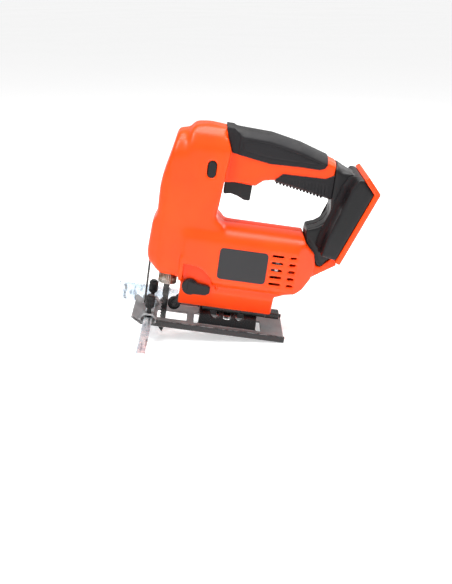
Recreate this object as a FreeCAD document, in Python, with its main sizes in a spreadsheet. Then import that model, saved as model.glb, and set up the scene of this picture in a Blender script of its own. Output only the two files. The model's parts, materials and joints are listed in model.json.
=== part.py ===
import FreeCAD, Part
import math
import os
from collections import namedtuple

import Sketcher

# Cordless jigsaw. Millimetres. The origin is where the blade's centre line crosses the
# underside of the shoe. +Z is up, the blade's teeth face -Y, and the battery foot is at +Y.
# +X is the tool's left side, which carries the selector knob and the rating plate.

SIZES = {
    # housing shell
    "wall": 2.5,
    "nose_front": -22.0,
    "nose_half_width": 27.0,
    "crown_height": 190.5,
    "column_rear": 41.0,
    "mouth_height": 48.0,
    "deck_height": 101.0,
    "body_half_width": 30.0,
    "body_front": 10.0,
    "body_rear": 135.0,
    "belly_height": 44.0,
    "shoulder_height": 91.0,
    "hip_half_width": 23.0,
    "hip_bottom": 30.5,
    "skirt_half_width": 15.0,
    "skirt_front": 12.5,
    "skirt_rear": 101.0,
    "skirt_bottom": 19.0,
    "handle_half_width": 15.5,
    "handle_height": 151.5,
    "handle_rear": 139.0,
    "grip_skin": 1.5,
    "plate_front": 45.0,
    "plate_length": 44.7,
    "plate_height": 29.6,
    # battery foot
    "foot_half_width": 38.0,
    "foot_toe_y": 155.0,
    "foot_toe_height": 84.0,
    "slide_length": 72.0,
    "slide_angle": 20.3,
    "rim_thickness": 5.0,
    "rail_gap_half": 22.0,
    "rail_width": 5.0,
    # motor and gear train
    "motor_height": 67.0,
    "motor_radius": 21.0,
    "can_wall": 1.4,
    "can_front": 38.0,
    "can_rear": 98.0,
    "armature_radius": 14.6,
    "motor_shaft_radius": 2.5,
    "spigot_radius": 1.6,
    "bearing_radius": 8.0,
    "bearing_width": 5.0,
    "fan_radius": 18.0,
    "gear_module": 0.7,
    "gear_teeth": 58.0,
    "pinion_teeth": 11.0,
    "gear_front": 8.0,
    "gear_width": 7.0,
    "gear_shaft_radius": 4.0,
    "casting_front": 20.0,
    "casting_half_width": 22.0,
    "stroke": 18.0,
    "crank_pin_radius": 2.5,
    "crank_roller_radius": 4.0,
    "yoke_lag": 2.4,
    # plunger, clamp and blade
    "plunger_radius": 4.0,
    "plunger_top": 140.0,
    "bush_wall": 2.5,
    "lower_bush_height": 55.7,
    "upper_bush_height": 117.0,
    "bush_length": 6.5,
    "clamp_bottom": 34.5,
    "clamp_top": 46.3,
    "clamp_radius": 6.0,
    "collar_radius": 8.4,
    "blade_width": 5.9,
    "blade_thickness": 1.2,
    "blade_drop": 16.3,
    # guide roller and its fork
    "roller_radius": 6.0,
    "roller_width": 5.6,
    "roller_height": 14.0,
    "roller_pin_radius": 1.5,
    "fork_pivot_y": 24.0,
    "fork_pivot_height": 30.5,
    "fork_pin_radius": 2.0,
    # selector, trigger and lock-off
    "selector_y": 22.0,
    "selector_height": 40.0,
    "selector_shaft_radius": 3.0,
    "knob_thickness": 5.5,
    "trigger_half_width": 6.5,
    "trigger_pivot_y": 44.0,
    "trigger_pivot_height": 147.0,
    "lock_y": 27.5,
    "lock_height": 151.6,
    "lock_half_width": 3.8,
    "lock_half_height": 7.6,
    # shoe
    "shoe_half_width": 35.0,
    "shoe_front": -29.0,
    "shoe_rear": 116.0,
    "shoe_sheet": 2.0,
    "flange_height": 6.0,
    "hump_radius": 17.0,
    "hump_front": 34.0,
    "hump_rear": 89.0,
    "window_half_width": 12.5,
    "bevel_bolt_y": 60.5,
    "bevel_bolt_radius": 2.5,
    # rip fence
    "fence_y": -12.8,
    "fence_bar_width": 8.0,
    "fence_bar_thickness": 3.0,
    "fence_near": 125.0,
    "fence_far": -75.0,
    "arch_inset": 10.0,
    "thumb_radius": 4.0,
    "thumb_length": 12.6,
    "guard_radius": 0.9,
    "guard_y": -18.6,
    "guard_half_width": 4.0,
    # clearances and fasteners
    "running_gap": 0.03,
    "free_gap": 0.3,
    "screw_radius": 1.5,
    "screw_head_radius": 3.0,
    "boss_radius": 4.4,
}

YZ = "YZ_Plane"
XZ = "XZ_Plane"
XY = "XY_Plane"
LEFT = 1.0
RIGHT = -1.0

Ring = namedtuple("Ring", "u v radius")
doc = FreeCAD.newDocument("jigsaw")


class Dim:
    """A size that knows its number and the sheet expression that gives it."""

    def __init__(self, value, text):
        self.value = value
        self.text = text

    def _join(self, sign, other, value):
        return Dim(value, "(" + self.text + " " + sign + " " + other.text + ")")

    def __add__(self, other):
        other = dim(other)
        return self._join("+", other, self.value + other.value)

    def __sub__(self, other):
        other = dim(other)
        return self._join("-", other, self.value - other.value)

    def __mul__(self, other):
        other = dim(other)
        return self._join("*", other, self.value * other.value)

    def __truediv__(self, other):
        other = dim(other)
        return self._join("/", other, self.value / other.value)

    def __neg__(self):
        return Dim(-self.value, "(0 - " + self.text + ")")

    def __radd__(self, other):
        return dim(other) + self

    def __rsub__(self, other):
        return dim(other) - self

    def __rmul__(self, other):
        return dim(other) * self


def dim(value):
    if isinstance(value, Dim):
        return value
    return Dim(float(value), "%.6f" % value)


def cosine(angle):
    return Dim(math.cos(math.radians(angle.value)), "cos(" + angle.text + " * 1 deg)")


def sine(angle):
    return Dim(math.sin(math.radians(angle.value)), "sin(" + angle.text + " * 1 deg)")


def make_sheet():
    """Writes the driving sizes and gives them back by name."""
    sheet = doc.addObject("Spreadsheet::Sheet", "Sizes")
    named = {}
    for row, (name, value) in enumerate(SIZES.items(), 1):
        sheet.set("A%d" % row, name)
        sheet.set("B%d" % row, str(value))
        sheet.setAlias("B%d" % row, name)
        named[name] = Dim(value, "Sizes." + name)
    doc.recompute()
    return namedtuple("Sizes", named)(**named)


S = make_sheet()
parts = []


# ---------------------------------------------------------------- modelling helpers

def bind(thing, path, size):
    """Binds a property to the sheet."""
    thing.setExpression(path, dim(size).text)


def new_body(label, at=(0, 0, 0), tilt=None):
    """A sub-part with its own frame, moved to a place and tilted about X."""
    body = doc.addObject("PartDesign::Body", label)
    body.Label = label
    for axis, place in zip("xyz", at):
        bind(body, "Placement.Base." + axis, place)
    if tilt is not None:
        body.Placement.Rotation = FreeCAD.Rotation(FreeCAD.Vector(1, 0, 0), tilt.value)
        bind(body, "Placement.Rotation.Angle", tilt)
    parts.append(body)
    return body


def fix_point(sketch, geometry, end, u, v):
    """Fixes a point of a sketch to two sizes."""
    for kind, size in (("DistanceX", dim(u)), ("DistanceY", dim(v))):
        rule = Sketcher.Constraint(kind, -1, 1, geometry, end, size.value)
        index = sketch.addConstraint(rule)
        sketch.setExpression("Constraints[%d]" % index, size.text)


def draw_ring(sketch, ring):
    centre = FreeCAD.Vector(dim(ring.u).value, dim(ring.v).value, 0)
    circle = Part.Circle(centre, FreeCAD.Vector(0, 0, 1), dim(ring.radius).value)
    geometry = sketch.addGeometry(circle)
    fix_point(sketch, geometry, 3, ring.u, ring.v)
    rule = Sketcher.Constraint("Radius", geometry, dim(ring.radius).value)
    index = sketch.addConstraint(rule)
    sketch.setExpression("Constraints[%d]" % index, dim(ring.radius).text)


def draw_polygon(sketch, corners):
    first = sketch.GeometryCount
    count = len(corners)
    spots = [FreeCAD.Vector(dim(u).value, dim(v).value, 0) for u, v in corners]
    for index in range(count):
        sketch.addGeometry(Part.LineSegment(spots[index], spots[(index + 1) % count]))
    for index in range(count):
        following = first + (index + 1) % count
        rule = Sketcher.Constraint("Coincident", first + index, 2, following, 1)
        sketch.addConstraint(rule)
    for index, (u, v) in enumerate(corners):
        fix_point(sketch, first + index, 1, u, v)


def draw(body, plane, level, loops):
    """A sketch on one of the body's origin planes, raised to a level."""
    sketch = body.newObject("Sketcher::SketchObject", body.Name + "_sketch")
    support = [item for item in body.Origin.OriginFeatures if item.Role == plane]
    sketch.AttachmentSupport = [(support[0], "")]
    sketch.MapMode = "FlatFace"
    lift = -dim(level) if plane == XZ else dim(level)
    bind(sketch, "AttachmentOffset.Base.z", lift)
    for loop in loops:
        if isinstance(loop, Ring):
            draw_ring(sketch, loop)
        else:
            draw_polygon(sketch, loop)
    return sketch


def extrude(body, kind, plane, loops, start, end):
    """Adds or removes a prism between two levels of a plane."""
    start = dim(start)
    end = dim(end)
    feature = body.newObject("PartDesign::" + kind, body.Name + "_" + kind.lower())
    feature.Profile = draw(body, plane, start, loops)
    rises = end.value > start.value
    bind(feature, "Length", end - start if rises else start - end)
    along_normal = rises != (plane == XZ)
    feature.Reversed = along_normal == (kind == "Pocket")
    return feature


def pad(body, plane, loops, start, end):
    return extrude(body, "Pad", plane, loops, start, end)


def cut(body, plane, loops, start, end):
    return extrude(body, "Pocket", plane, loops, start, end)


def rectangle(low_u, low_v, high_u, high_v):
    return [(low_u, low_v), (high_u, low_v), (high_u, high_v), (low_u, high_v)]


def block(body, low, high, kind="Pad"):
    """Adds or removes a box between two corners."""
    outline = rectangle(low[0], low[1], high[0], high[1])
    return extrude(body, kind, XY, [outline], low[2], high[2])


def turn(body, kind, plane, profile, axis, angle=360.0):
    """Adds or removes a turned shape about the sketch's own H_Axis or V_Axis."""
    feature = body.newObject("PartDesign::" + kind, body.Name + "_" + kind.lower())
    sketch = draw(body, plane, 0, profile)
    feature.Profile = sketch
    feature.ReferenceAxis = (sketch, [axis])
    feature.Angle = angle
    return feature


def lathe(label, profile, plane, axis, at):
    body = new_body(label, at)
    turn(body, "Revolution", plane, [profile], axis)
    return body


def bar_profile(steps):
    """Turned profile from (start, end, radius) steps along the axis."""
    corners = [(steps[0][0], 0)]
    for start, end, radius in steps:
        corners.append((start, radius))
        corners.append((end, radius))
    corners.append((steps[-1][1], 0))
    return corners


def sleeve_profile(start, end, bore, radius):
    return rectangle(start, bore, end, radius)


def swap(corners):
    """Turns an along-axis profile into one for a Z axis."""
    return [(v, u) for u, v in corners]


def straight_edges(shape, direction, wanted):
    """Names of the straight edges along a direction that a test picks."""
    names = []
    for number, edge in enumerate(shape.Edges, 1):
        if len(edge.Vertexes) != 2 or not isinstance(edge.Curve, Part.Line):
            continue
        first = edge.Vertexes[0].Point
        last = edge.Vertexes[1].Point
        along = (last - first).normalize()
        if abs(along.dot(direction)) > 0.999 and wanted((first + last) * 0.5):
            names.append("Edge%d" % number)
    return names


def round_edges(body, radius, direction, wanted=lambda spot: True):
    """Rounds straight edges along a direction."""
    doc.recompute()
    base = body.Tip
    names = straight_edges(base.Shape, FreeCAD.Vector(*direction), wanted)
    feature = body.newObject("PartDesign::Fillet", body.Name + "_fillet")
    feature.Base = (base, names)
    bind(feature, "Radius", radius)
    return feature


def coil(label, at, radius, wire, pitch, turns):
    """A round-wire spring about Z."""
    body = new_body(label, at)
    sketch = draw(body, XZ, 0, [Ring(radius, 0, wire)])
    feature = body.newObject("PartDesign::AdditiveHelix", label + "_helix")
    feature.Profile = sketch
    feature.ReferenceAxis = (sketch, ["V_Axis"])
    feature.Mode = 0
    bind(feature, "Pitch", pitch)
    bind(feature, "Height", dim(pitch) * turns)
    return body


def group(label, source, spots):
    """Copies of one finished shape as a group of separate solids."""
    doc.recompute()
    shapes = []
    for spot in spots:
        copy = source.Shape.copy()
        copy.translate(FreeCAD.Vector(*[dim(value).value for value in spot]))
        shapes.append(copy)
    node = doc.addObject("Part::Feature", label)
    node.Label = label
    node.Shape = Part.makeCompound(shapes)
    node.Placement = FreeCAD.Placement()
    parts.append(node)
    return node


# ---------------------------------------------------------------- shared places

GEAR_HEIGHT = S.motor_height + S.gear_module * (S.gear_teeth + S.pinion_teeth) * 0.5
CRANK = S.stroke * 0.5
PLATE_TOP = S.shoe_sheet
FENCE_X = S.shoe_half_width - S.arch_inset
ROLLER_Y = S.blade_width * 0.5 + S.free_gap + S.roller_radius
CASTING_REAR = S.casting_front + S.bearing_width
SADDLE_RADIUS = S.hump_radius + S.free_gap
KNOB_FACE = S.hip_half_width + S.free_gap
HANDLE_REACH = S.handle_half_width - S.wall
NECK_HALF = S.handle_half_width + S.grip_skin
# screws that hold the two halves: (Y, Z, distance from the split to the shell's wall)
SCREW_SPOTS = [
    (S.nose_front + 36.5, S.crown_height - 13.0, S.nose_half_width - 12.0),
    (S.nose_front + 8.3, S.motor_height - 2.0, S.nose_half_width - 14.0),
    (S.skirt_front + 39.5, S.hip_bottom + 5.0, S.hip_half_width - S.wall),
    (S.skirt_rear - 10.0, S.hip_bottom + 5.0, S.hip_half_width - S.wall),
    (S.column_rear + 13.0, S.deck_height - 7.5, S.body_half_width - 8.0),
    (S.body_rear - 34.0, S.deck_height - 7.5, S.body_half_width - 8.0),
    (S.handle_rear - 42.0, S.handle_height + 19.5, HANDLE_REACH),
    (S.handle_rear - 8.5, S.handle_height + 0.5, HANDLE_REACH),
]
HEAD_SEAT = 12.0
LEAD_HEIGHT = S.handle_height + 8.5


def foot_point(out, along):
    """A point of the battery foot: out from the slide face, and up along it."""
    rise = cosine(S.slide_angle)
    run = sine(S.slide_angle)
    y = S.foot_toe_y + along * run + out * rise
    z = S.foot_toe_height + along * rise - out * run
    return (y, z)


# black neck and lower bracket, from the handle's end round to the motor body and the foot
NECK = [
    (S.handle_rear, S.handle_height - 16.5), (S.handle_rear + 1.4, S.handle_height - 22.5),
    (S.handle_rear + 0.8, S.handle_height - 29.5), (S.handle_rear - 2.5, S.handle_height - 36.5),
    (S.handle_rear - 9.0, S.handle_height - 41.5), (S.body_rear - 13.5, S.deck_height + 6.0),
    (S.body_rear - 14.0, S.deck_height), (S.body_rear - 13.3, S.deck_height - 5.5),
    (S.body_rear + 0.5, S.foot_toe_height - 10.5), (S.body_rear + 4.8, S.foot_toe_height - 11.5),
    foot_point(-S.rim_thickness, dim(0.0)), (S.foot_toe_y + 3.0, S.foot_toe_height + 36.0),
    (S.foot_toe_y + 4.0, S.foot_toe_height + 70.0), (S.foot_toe_y + 1.0, S.foot_toe_height + 79.0),
    (S.handle_rear + 9.5, S.handle_height + 14.8), (S.handle_rear, S.handle_height + 19.5),
]
# outline of the handle's core, from the column to the neck: underside, then top
HANDLE_UNDERSIDE = [
    (S.column_rear - 3.0, S.handle_height - 11.5),
    (S.column_rear + 28.0, S.handle_height - 13.2),
    (S.column_rear + 34.5, S.handle_height - 7.4),
    (S.column_rear + 45.0, S.handle_height - 5.2),
    (S.handle_rear - 33.0, S.handle_height - 8.5),
    (S.handle_rear - 13.0, S.handle_height - 12.0),
    (S.handle_rear, S.handle_height - 14.7),
]
HANDLE_TOP = [
    (S.handle_rear, S.handle_height + 19.5),
    (S.handle_rear - 15.0, S.crown_height - 15.0),
    (S.handle_rear - 34.0, S.crown_height - 9.0),
    (S.handle_rear - 61.0, S.crown_height - 3.7),
    (S.column_rear - 7.0, S.crown_height - 2.0),
]
GRIP_EDGE = [
    (S.column_rear + 2.5, S.handle_height + 16.0),
    (S.column_rear + 38.5, S.handle_height + 10.1),
    (S.handle_rear - 15.0, S.handle_height + 12.0),
    (S.handle_rear - 9.8, S.handle_height + 15.5),
]
UNDER_GRIP_EDGE = [
    (S.handle_rear, S.handle_height + 9.5),
    (S.handle_rear - 7.5, S.handle_height + 4.0),
    (S.column_rear + 51.0, S.handle_height + 2.0),
]


def raised(corners, rise):
    return [(y, z + rise) for y, z in corners]


# ---------------------------------------------------------------- housing halves

def nose_outline():
    front = S.nose_front
    top = S.crown_height
    rear = S.column_rear
    return [
        (front + 2.0, S.mouth_height + 9.5),
        (front + 13.0, S.mouth_height + 1.5),
        (front + 16.0, S.mouth_height),
        (rear + 4.0, S.mouth_height),
        (rear + 4.0, S.deck_height),
        (rear - 3.7, S.deck_height + 6.0),
        (rear - 1.0, S.handle_height - 9.0),
        (rear + 1.4, S.handle_height + 18.5),
        (rear - 6.5, top - 1.8),
        (front + 43.0, top),
        (front + 30.0, top - 2.5),
        (front + 25.5, top - 7.8),
        (front + 15.0, top - 10.5),
        (front + 11.0, top - 30.0),
        (front + 6.0, top - 51.5),
        (front + 4.8, top - 61.5),
        (front + 5.2, S.deck_height + 1.4),
        (front + 1.6, S.deck_height - 6.2),
        (front, S.motor_height - 2.0),
    ]


def add_outer_shape(body, side):
    """The solid that the shell is hollowed from."""
    pad(body, YZ, [nose_outline()], 0, S.nose_half_width * side)
    # the nose narrows towards its front face and towards the crown
    front_flat = S.nose_half_width - 11.0
    wide = (S.nose_half_width + 1.0) * side
    facet = [(front_flat * side, S.nose_front - 1.0), (wide, S.nose_front - 1.0),
             (wide, S.nose_front + 13.0)]
    cut(body, XY, [facet], S.mouth_height - 2.0, S.crown_height + 1.0)
    step = S.nose_front + 26.0
    for top, start, end in ((S.crown_height - 8.5, S.nose_front - 2.0, step),
                            (S.crown_height, step, S.column_rear + 5.0)):
        crown = [
            ((S.nose_half_width - 19.0) * side, S.crown_height + 1.0),
            ((S.nose_half_width - 19.0) * side, top), ((S.nose_half_width - 11.0) * side, top - 2.3),
            ((S.nose_half_width - 4.5) * side, top - 8.5), ((S.nose_half_width - 1.2) * side, top - 17.0),
            (S.nose_half_width * side, top - 21.0), (wide, top - 21.0), (wide, S.crown_height + 1.0),
        ]
        cut(body, XZ, [crown], start, end)
    # motor body, its rear rounded off in the side view
    section = [
        (0, S.belly_height),
        ((S.body_half_width - 4.0) * side, S.belly_height),
        (S.body_half_width * side, S.belly_height + 4.0),
        (S.body_half_width * side, S.shoulder_height - 5.0),
        ((S.body_half_width - 0.8) * side, S.shoulder_height - 1.0),
        ((S.body_half_width - 3.0) * side, S.shoulder_height + 2.8),
        ((S.body_half_width - 6.5) * side, S.deck_height - 4.0),
        ((S.body_half_width - 11.5) * side, S.deck_height - 1.4),
        ((S.body_half_width - 18.0) * side, S.deck_height),
        (0, S.deck_height),
    ]
    pad(body, XZ, [section], S.body_front, S.body_rear)
    rear = S.body_rear
    low_corner = [
        (rear - 26.0, S.belly_height - 1.0), (rear - 18.5, S.belly_height + 0.5),
        (rear - 9.5, S.belly_height + 6.5), (rear - 3.3, S.belly_height + 16.0),
        (rear, S.belly_height + 27.0), (rear + 1.0, S.belly_height + 27.0),
        (rear + 1.0, S.belly_height - 1.0),
    ]
    high_corner = [
        (rear + 1.0, S.shoulder_height - 18.0), (rear, S.shoulder_height - 18.0),
        (rear - 3.0, S.shoulder_height - 6.0), (rear - 12.0, S.shoulder_height + 3.0),
        (rear - 16.0, S.deck_height + 1.0), (rear + 1.0, S.deck_height + 1.0),
    ]
    wide = (S.body_half_width + 1.0) * side
    cut(body, YZ, [low_corner], 0, wide)
    cut(body, YZ, [high_corner], 0, wide)
    plan_corner = [
        (wide, rear - 20.0), (wide, rear + 1.0),
        ((S.body_half_width - 12.0) * side, rear + 1.0),
    ]
    cut(body, XY, [plan_corner], S.belly_height - 1.0, S.deck_height + 1.0)
    # hip and skirt below the body, one side that narrows downwards from a single crease
    crease = S.hip_bottom + 5.5
    section = [
        (0, S.skirt_bottom), (S.skirt_half_width * side, S.skirt_bottom),
        ((S.skirt_half_width + 1.5) * side, S.skirt_bottom + 4.0),
        (S.hip_half_width * side, crease), (S.hip_half_width * side, S.belly_height + 6.0),
        (0, S.belly_height + 6.0),
    ]
    pad(body, XZ, [section], S.skirt_front, S.skirt_rear)
    tail = [
        (S.skirt_rear - 2.0, S.belly_height - 5.0), (S.skirt_rear + 1.5, S.belly_height - 4.5),
        (S.body_rear - 19.0, S.belly_height - 0.7), (S.body_rear - 10.0, S.belly_height + 5.5),
        (S.body_rear - 10.0, S.belly_height + 6.5), (S.skirt_rear - 2.0, S.belly_height + 6.5),
    ]
    pad(body, YZ, [tail], 0, S.hip_half_width * side)
    # handle core and the wedge that ties the foot to the motor body
    pad(body, YZ, [HANDLE_UNDERSIDE + HANDLE_TOP], 0, S.handle_half_width * side)
    toe = foot_point(-S.rim_thickness, dim(-2.0))
    wedge = [
        (S.body_rear - 9.0, S.shoulder_height - 8.0), (S.body_rear - 3.0, S.motor_height - 6.0),
        (toe[0] + 5.0, toe[1] - 7.5), toe, (S.body_rear + 4.8, S.foot_toe_height - 11.5),
        (S.body_rear, S.foot_toe_height - 10.5),
    ]
    pad(body, YZ, [wedge], 0, NECK_HALF * side)
    cut(body, YZ, [NECK], 0, NECK_HALF * side)


def hollow_out(body, side):
    """Leaves a wall all round, with the chambers for the works joined together."""
    wall = S.wall
    inner = S.nose_half_width - wall
    rear = S.column_rear - wall
    chamber = [
        (S.nose_front + 15.0, S.mouth_height + wall), (rear + 6.0, S.mouth_height + wall),
        (rear + 6.0, S.deck_height - wall), (rear - 4.0, S.deck_height),
        (rear - 1.5, S.handle_height - 9.0), (rear - 0.5, S.crown_height - 26.0),
        (S.nose_front + 24.0, S.crown_height - 26.0), (S.nose_front + 15.0, S.crown_height - 41.0),
    ]
    cut(body, YZ, [chamber], 0, inner * side)
    front_room = [
        (S.nose_front + 4.9, S.mouth_height + 11.5), (S.nose_front + 11.0, S.mouth_height + 8.0),
        (S.nose_front + 16.0, S.mouth_height + 5.0), (S.nose_front + 16.0, S.crown_height - 34.0),
        (S.nose_front + 12.0, S.crown_height - 42.0), (S.nose_front + 7.8, S.crown_height - 62.0),
        (S.nose_front + 8.2, S.deck_height + 1.0), (S.nose_front + 4.6, S.deck_height - 6.5),
        (S.nose_front + 3.0, S.motor_height - 1.0),
    ]
    cut(body, YZ, [front_room], 0, (S.nose_half_width - 14.0) * side)
    crown_room = [
        (S.nose_front + 21.0, S.crown_height - 30.0), (rear, S.crown_height - 30.0),
        (rear - 6.0, S.crown_height - 5.5), (S.nose_front + 43.0, S.crown_height - 3.5),
        (S.nose_front + 32.5, S.crown_height - 5.5), (S.nose_front + 28.0, S.crown_height - 11.0),
        (S.nose_front + 18.5, S.crown_height - 14.5),
    ]
    cut(body, YZ, [crown_room], 0, (S.nose_half_width - 16.0) * side)
    motor_room = [
        (0, S.belly_height + wall), ((S.body_half_width - 4.0 - wall) * side, S.belly_height + wall),
        ((S.body_half_width - wall) * side, S.belly_height + 4.0 + wall),
        ((S.body_half_width - wall) * side, S.shoulder_height - 4.0),
        ((S.body_half_width - 7.0) * side, S.shoulder_height + 1.5),
        ((S.body_half_width - 13.0) * side, S.deck_height - 3.0), (0, S.deck_height - 3.0),
    ]
    cut(body, XZ, [motor_room], S.body_front + 5.0, S.body_rear - 22.0)
    tail_room = rectangle(0, S.motor_height - 7.0,
                          (S.hip_half_width - 4.0) * side, S.motor_height + 14.0)
    cut(body, XZ, [tail_room], S.body_rear - 23.0, S.body_rear - 6.0)
    hip_room = rectangle(S.skirt_front + wall, S.hip_bottom + 4.5,
                         S.skirt_rear - wall, S.belly_height + 8.0)
    cut(body, YZ, [hip_room], 0, (S.hip_half_width - wall) * side)
    skirt_room = rectangle(S.skirt_front + wall, S.skirt_bottom + wall,
                           S.skirt_rear - wall, S.hip_bottom + 8.0)
    cut(body, YZ, [skirt_room], 0, (S.skirt_half_width - wall) * side)
    handle_room = raised(HANDLE_UNDERSIDE, wall)[1:-1] + [
        (S.handle_rear - 5.0, S.handle_height - 10.5), (S.handle_rear - 5.0, S.handle_height + 15.5),
    ] + raised(HANDLE_TOP, -wall)[1:-1] + [
        (rear - 3.0, S.crown_height - 6.0), (rear - 3.0, S.handle_height - 8.5),
    ]
    cut(body, YZ, [handle_room], 0, (S.handle_half_width - wall) * side)
    lead_gate = rectangle(0, LEAD_HEIGHT - 2.5, 6.0 * side, LEAD_HEIGHT + 2.5)
    cut(body, XZ, [lead_gate], S.handle_rear - 6.0, S.handle_rear + 1.0)


def quadrant(grown, low):
    """Selector recess in the side view: straight front and bottom, and an arc about the hub."""
    front = S.selector_y - 8.5 - grown
    corners = [(front, low), (front, S.selector_height + 22.0 + grown)]
    radius = dim(26.0) + grown
    for step in range(1, 6):
        angle = math.radians(90.0 - 17.0 * step)
        corners.append((S.selector_y - 3.5 + radius * math.cos(angle),
                        S.selector_height - 4.0 + radius * math.sin(angle)))
    corners.append((S.selector_y + 22.5 + grown, low))
    return corners


def add_selector_recess(body):
    """A pocket with a floor in line with the hip, so that the knob lies in the side."""
    floor = S.hip_half_width - S.wall + 0.2
    pad(body, YZ, [quadrant(S.wall, S.belly_height + 1.0)], floor, S.nose_half_width - 0.5)
    low = S.selector_height - 9.5
    cut(body, YZ, [quadrant(dim(0.0), low)], S.hip_half_width, S.body_half_width + 1.0)
    hole = Ring(S.selector_y, S.selector_height, S.selector_shaft_radius + S.running_gap)
    cut(body, YZ, [hole], S.hip_half_width - S.wall - 1.0, S.hip_half_width + 1.0)


def cut_openings(body, side):
    """Mouth, slots, vents and holes."""
    cut(body, XY, [Ring(0, 0, S.collar_radius + 2.6)], S.mouth_height - 3.0, S.mouth_height + 10.0)
    slot_half = S.roller_width * 0.5 + 4.6
    fork_slot = rectangle(0, S.skirt_front - 3.0, slot_half * side, S.skirt_front + S.wall + 0.5)
    cut(body, XY, [fork_slot], S.skirt_bottom - 1.0, S.hip_bottom + 5.5)
    floor_slot = rectangle(0, S.skirt_front - 3.0, slot_half * side, S.fork_pivot_y + 6.0)
    cut(body, XY, [floor_slot], S.skirt_bottom - 1.0, S.skirt_bottom + S.wall + 1.0)
    trigger_slot = rectangle(0, S.column_rear - 1.0,
                             (S.trigger_half_width + 0.5) * side, S.trigger_pivot_y + 24.4)
    cut(body, XY, [trigger_slot], S.handle_height - 15.5, S.handle_height - 0.5)
    # round-ended slot for the lock-off button
    slot_half = S.lock_half_width + S.free_gap
    straight = S.lock_half_height - S.lock_half_width
    near = (S.nose_half_width - 6.0) * side
    far = (S.nose_half_width + 1.0) * side
    middle = rectangle(S.lock_y - slot_half, S.lock_height - straight,
                       S.lock_y + slot_half, S.lock_height + straight)
    cut(body, YZ, [middle], near, far)
    for end in (S.lock_height - straight, S.lock_height + straight):
        cut(body, YZ, [Ring(S.lock_y, end, slot_half)], near, far)
    bolt_hole = Ring(0, S.bevel_bolt_y, S.bevel_bolt_radius + S.free_gap)
    cut(body, XY, [bolt_hole], S.skirt_bottom - 1.0, S.skirt_bottom + S.wall + 1.0)
    outside = (S.body_half_width + 1.0) * side
    inside = (S.body_half_width - 8.0) * side
    vents = []
    for row in range(5):
        low = S.motor_height - 14.3 + 6.65 * row
        vents.append(rectangle(dim(93.0), low, dim(104.4), low + 2.2))
        vents.append(rectangle(dim(109.6), low, dim(116.2), low + 2.2))
    cut(body, YZ, vents, outside, inside)
    louvres = []
    for row in range(5):
        low = dim(114.0) + 7.6 * row
        louvres.append(rectangle(0, low, 9.0 * side, low + 2.4))
    cut(body, XZ, louvres, S.nose_front - 1.0, S.nose_front + 14.0)
    leg = Ring(S.guard_half_width * side, S.guard_y, S.guard_radius)
    cut(body, XY, [leg], S.mouth_height + 5.0, S.mouth_height + 13.0)


def add_bosses(body, side):
    """Posts for the screws: blind on the left, bored through with a head seat on the right."""
    deep = S.skirt_half_width - S.wall + 0.5
    for y, z, reach in SCREW_SPOTS:
        pad(body, YZ, [Ring(y, z, S.boss_radius)], 0, (reach + 0.5) * side)
    if side == LEFT:
        for y, z, reach in SCREW_SPOTS:
            cut(body, YZ, [Ring(y, z, S.screw_radius)], 0, 9.0)
    else:
        far = S.body_half_width + 2.0
        for y, z, reach in SCREW_SPOTS:
            cut(body, YZ, [Ring(y, z, S.screw_radius + 0.2)], 0, -far)
            cut(body, YZ, [Ring(y, z, S.screw_head_radius + 0.2)], -HEAD_SEAT, -far)
    # post for the fork's pivot pin
    spot = (S.fork_pivot_y, S.fork_pivot_height)
    start = (S.roller_width * 0.5 + 5.0) * side
    pad(body, YZ, [Ring(spot[0], spot[1], S.fork_pin_radius + 2.0)], start, deep * side)
    cut(body, YZ, [Ring(spot[0], spot[1], S.fork_pin_radius)], start, (deep - 1.0) * side)


def make_housing(label, side):
    body = new_body(label)
    add_outer_shape(body, side)
    hollow_out(body, side)
    add_bosses(body, side)
    cut_openings(body, side)
    if side == LEFT:
        add_selector_recess(body)


def make_screws():
    profile = bar_profile([(-HEAD_SEAT - 2.4, -HEAD_SEAT, S.screw_head_radius),
                           (-HEAD_SEAT, dim(8.0), S.screw_radius)])
    master = lathe("housing_screw_master", profile, XY, "H_Axis", (0, 0, 0))
    cross = [rectangle(-2.0, -0.4, 2.0, 0.4)]
    cut(master, YZ, cross, -HEAD_SEAT - 3.0, -HEAD_SEAT - 1.2)
    parts.remove(master)
    group("housing_screws", master, [(0, y, z) for y, z, reach in SCREW_SPOTS])


# ---------------------------------------------------------------- grips, label and foot

def make_grips(side_name, side):
    """Soft skins over the handle: a saddle on top and a ribbed pad below."""
    inner = S.handle_half_width
    outer = S.handle_half_width + S.grip_skin
    crest = [(S.handle_rear - 8.0, S.crown_height - 17.1)] + HANDLE_TOP[1:-1]
    crest = crest + [(S.column_rear - 5.2, S.crown_height - 2.07)]
    saddle = new_body("top_grip_" + side_name)
    pad(saddle, YZ, [GRIP_EDGE + crest], inner * side, outer * side)
    strip = crest + list(reversed(raised(crest, S.grip_skin)))
    pad(saddle, YZ, [strip], 0, outer * side)
    lower = HANDLE_UNDERSIDE[3:]
    pad_body = new_body("under_grip_" + side_name)
    pad(pad_body, YZ, [lower + UNDER_GRIP_EDGE], inner * side, outer * side)
    strip = lower + list(reversed(raised(lower, -S.grip_skin)))
    pad(pad_body, YZ, [strip], 0, outer * side)
    if side == RIGHT:
        # the handle's screws go in through the skins
        for skin, (y, z, reach) in ((saddle, SCREW_SPOTS[-2]), (pad_body, SCREW_SPOTS[-1])):
            cut(skin, YZ, [Ring(y, z, S.screw_head_radius + 0.2)], -inner, -outer - 1.0)


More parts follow.
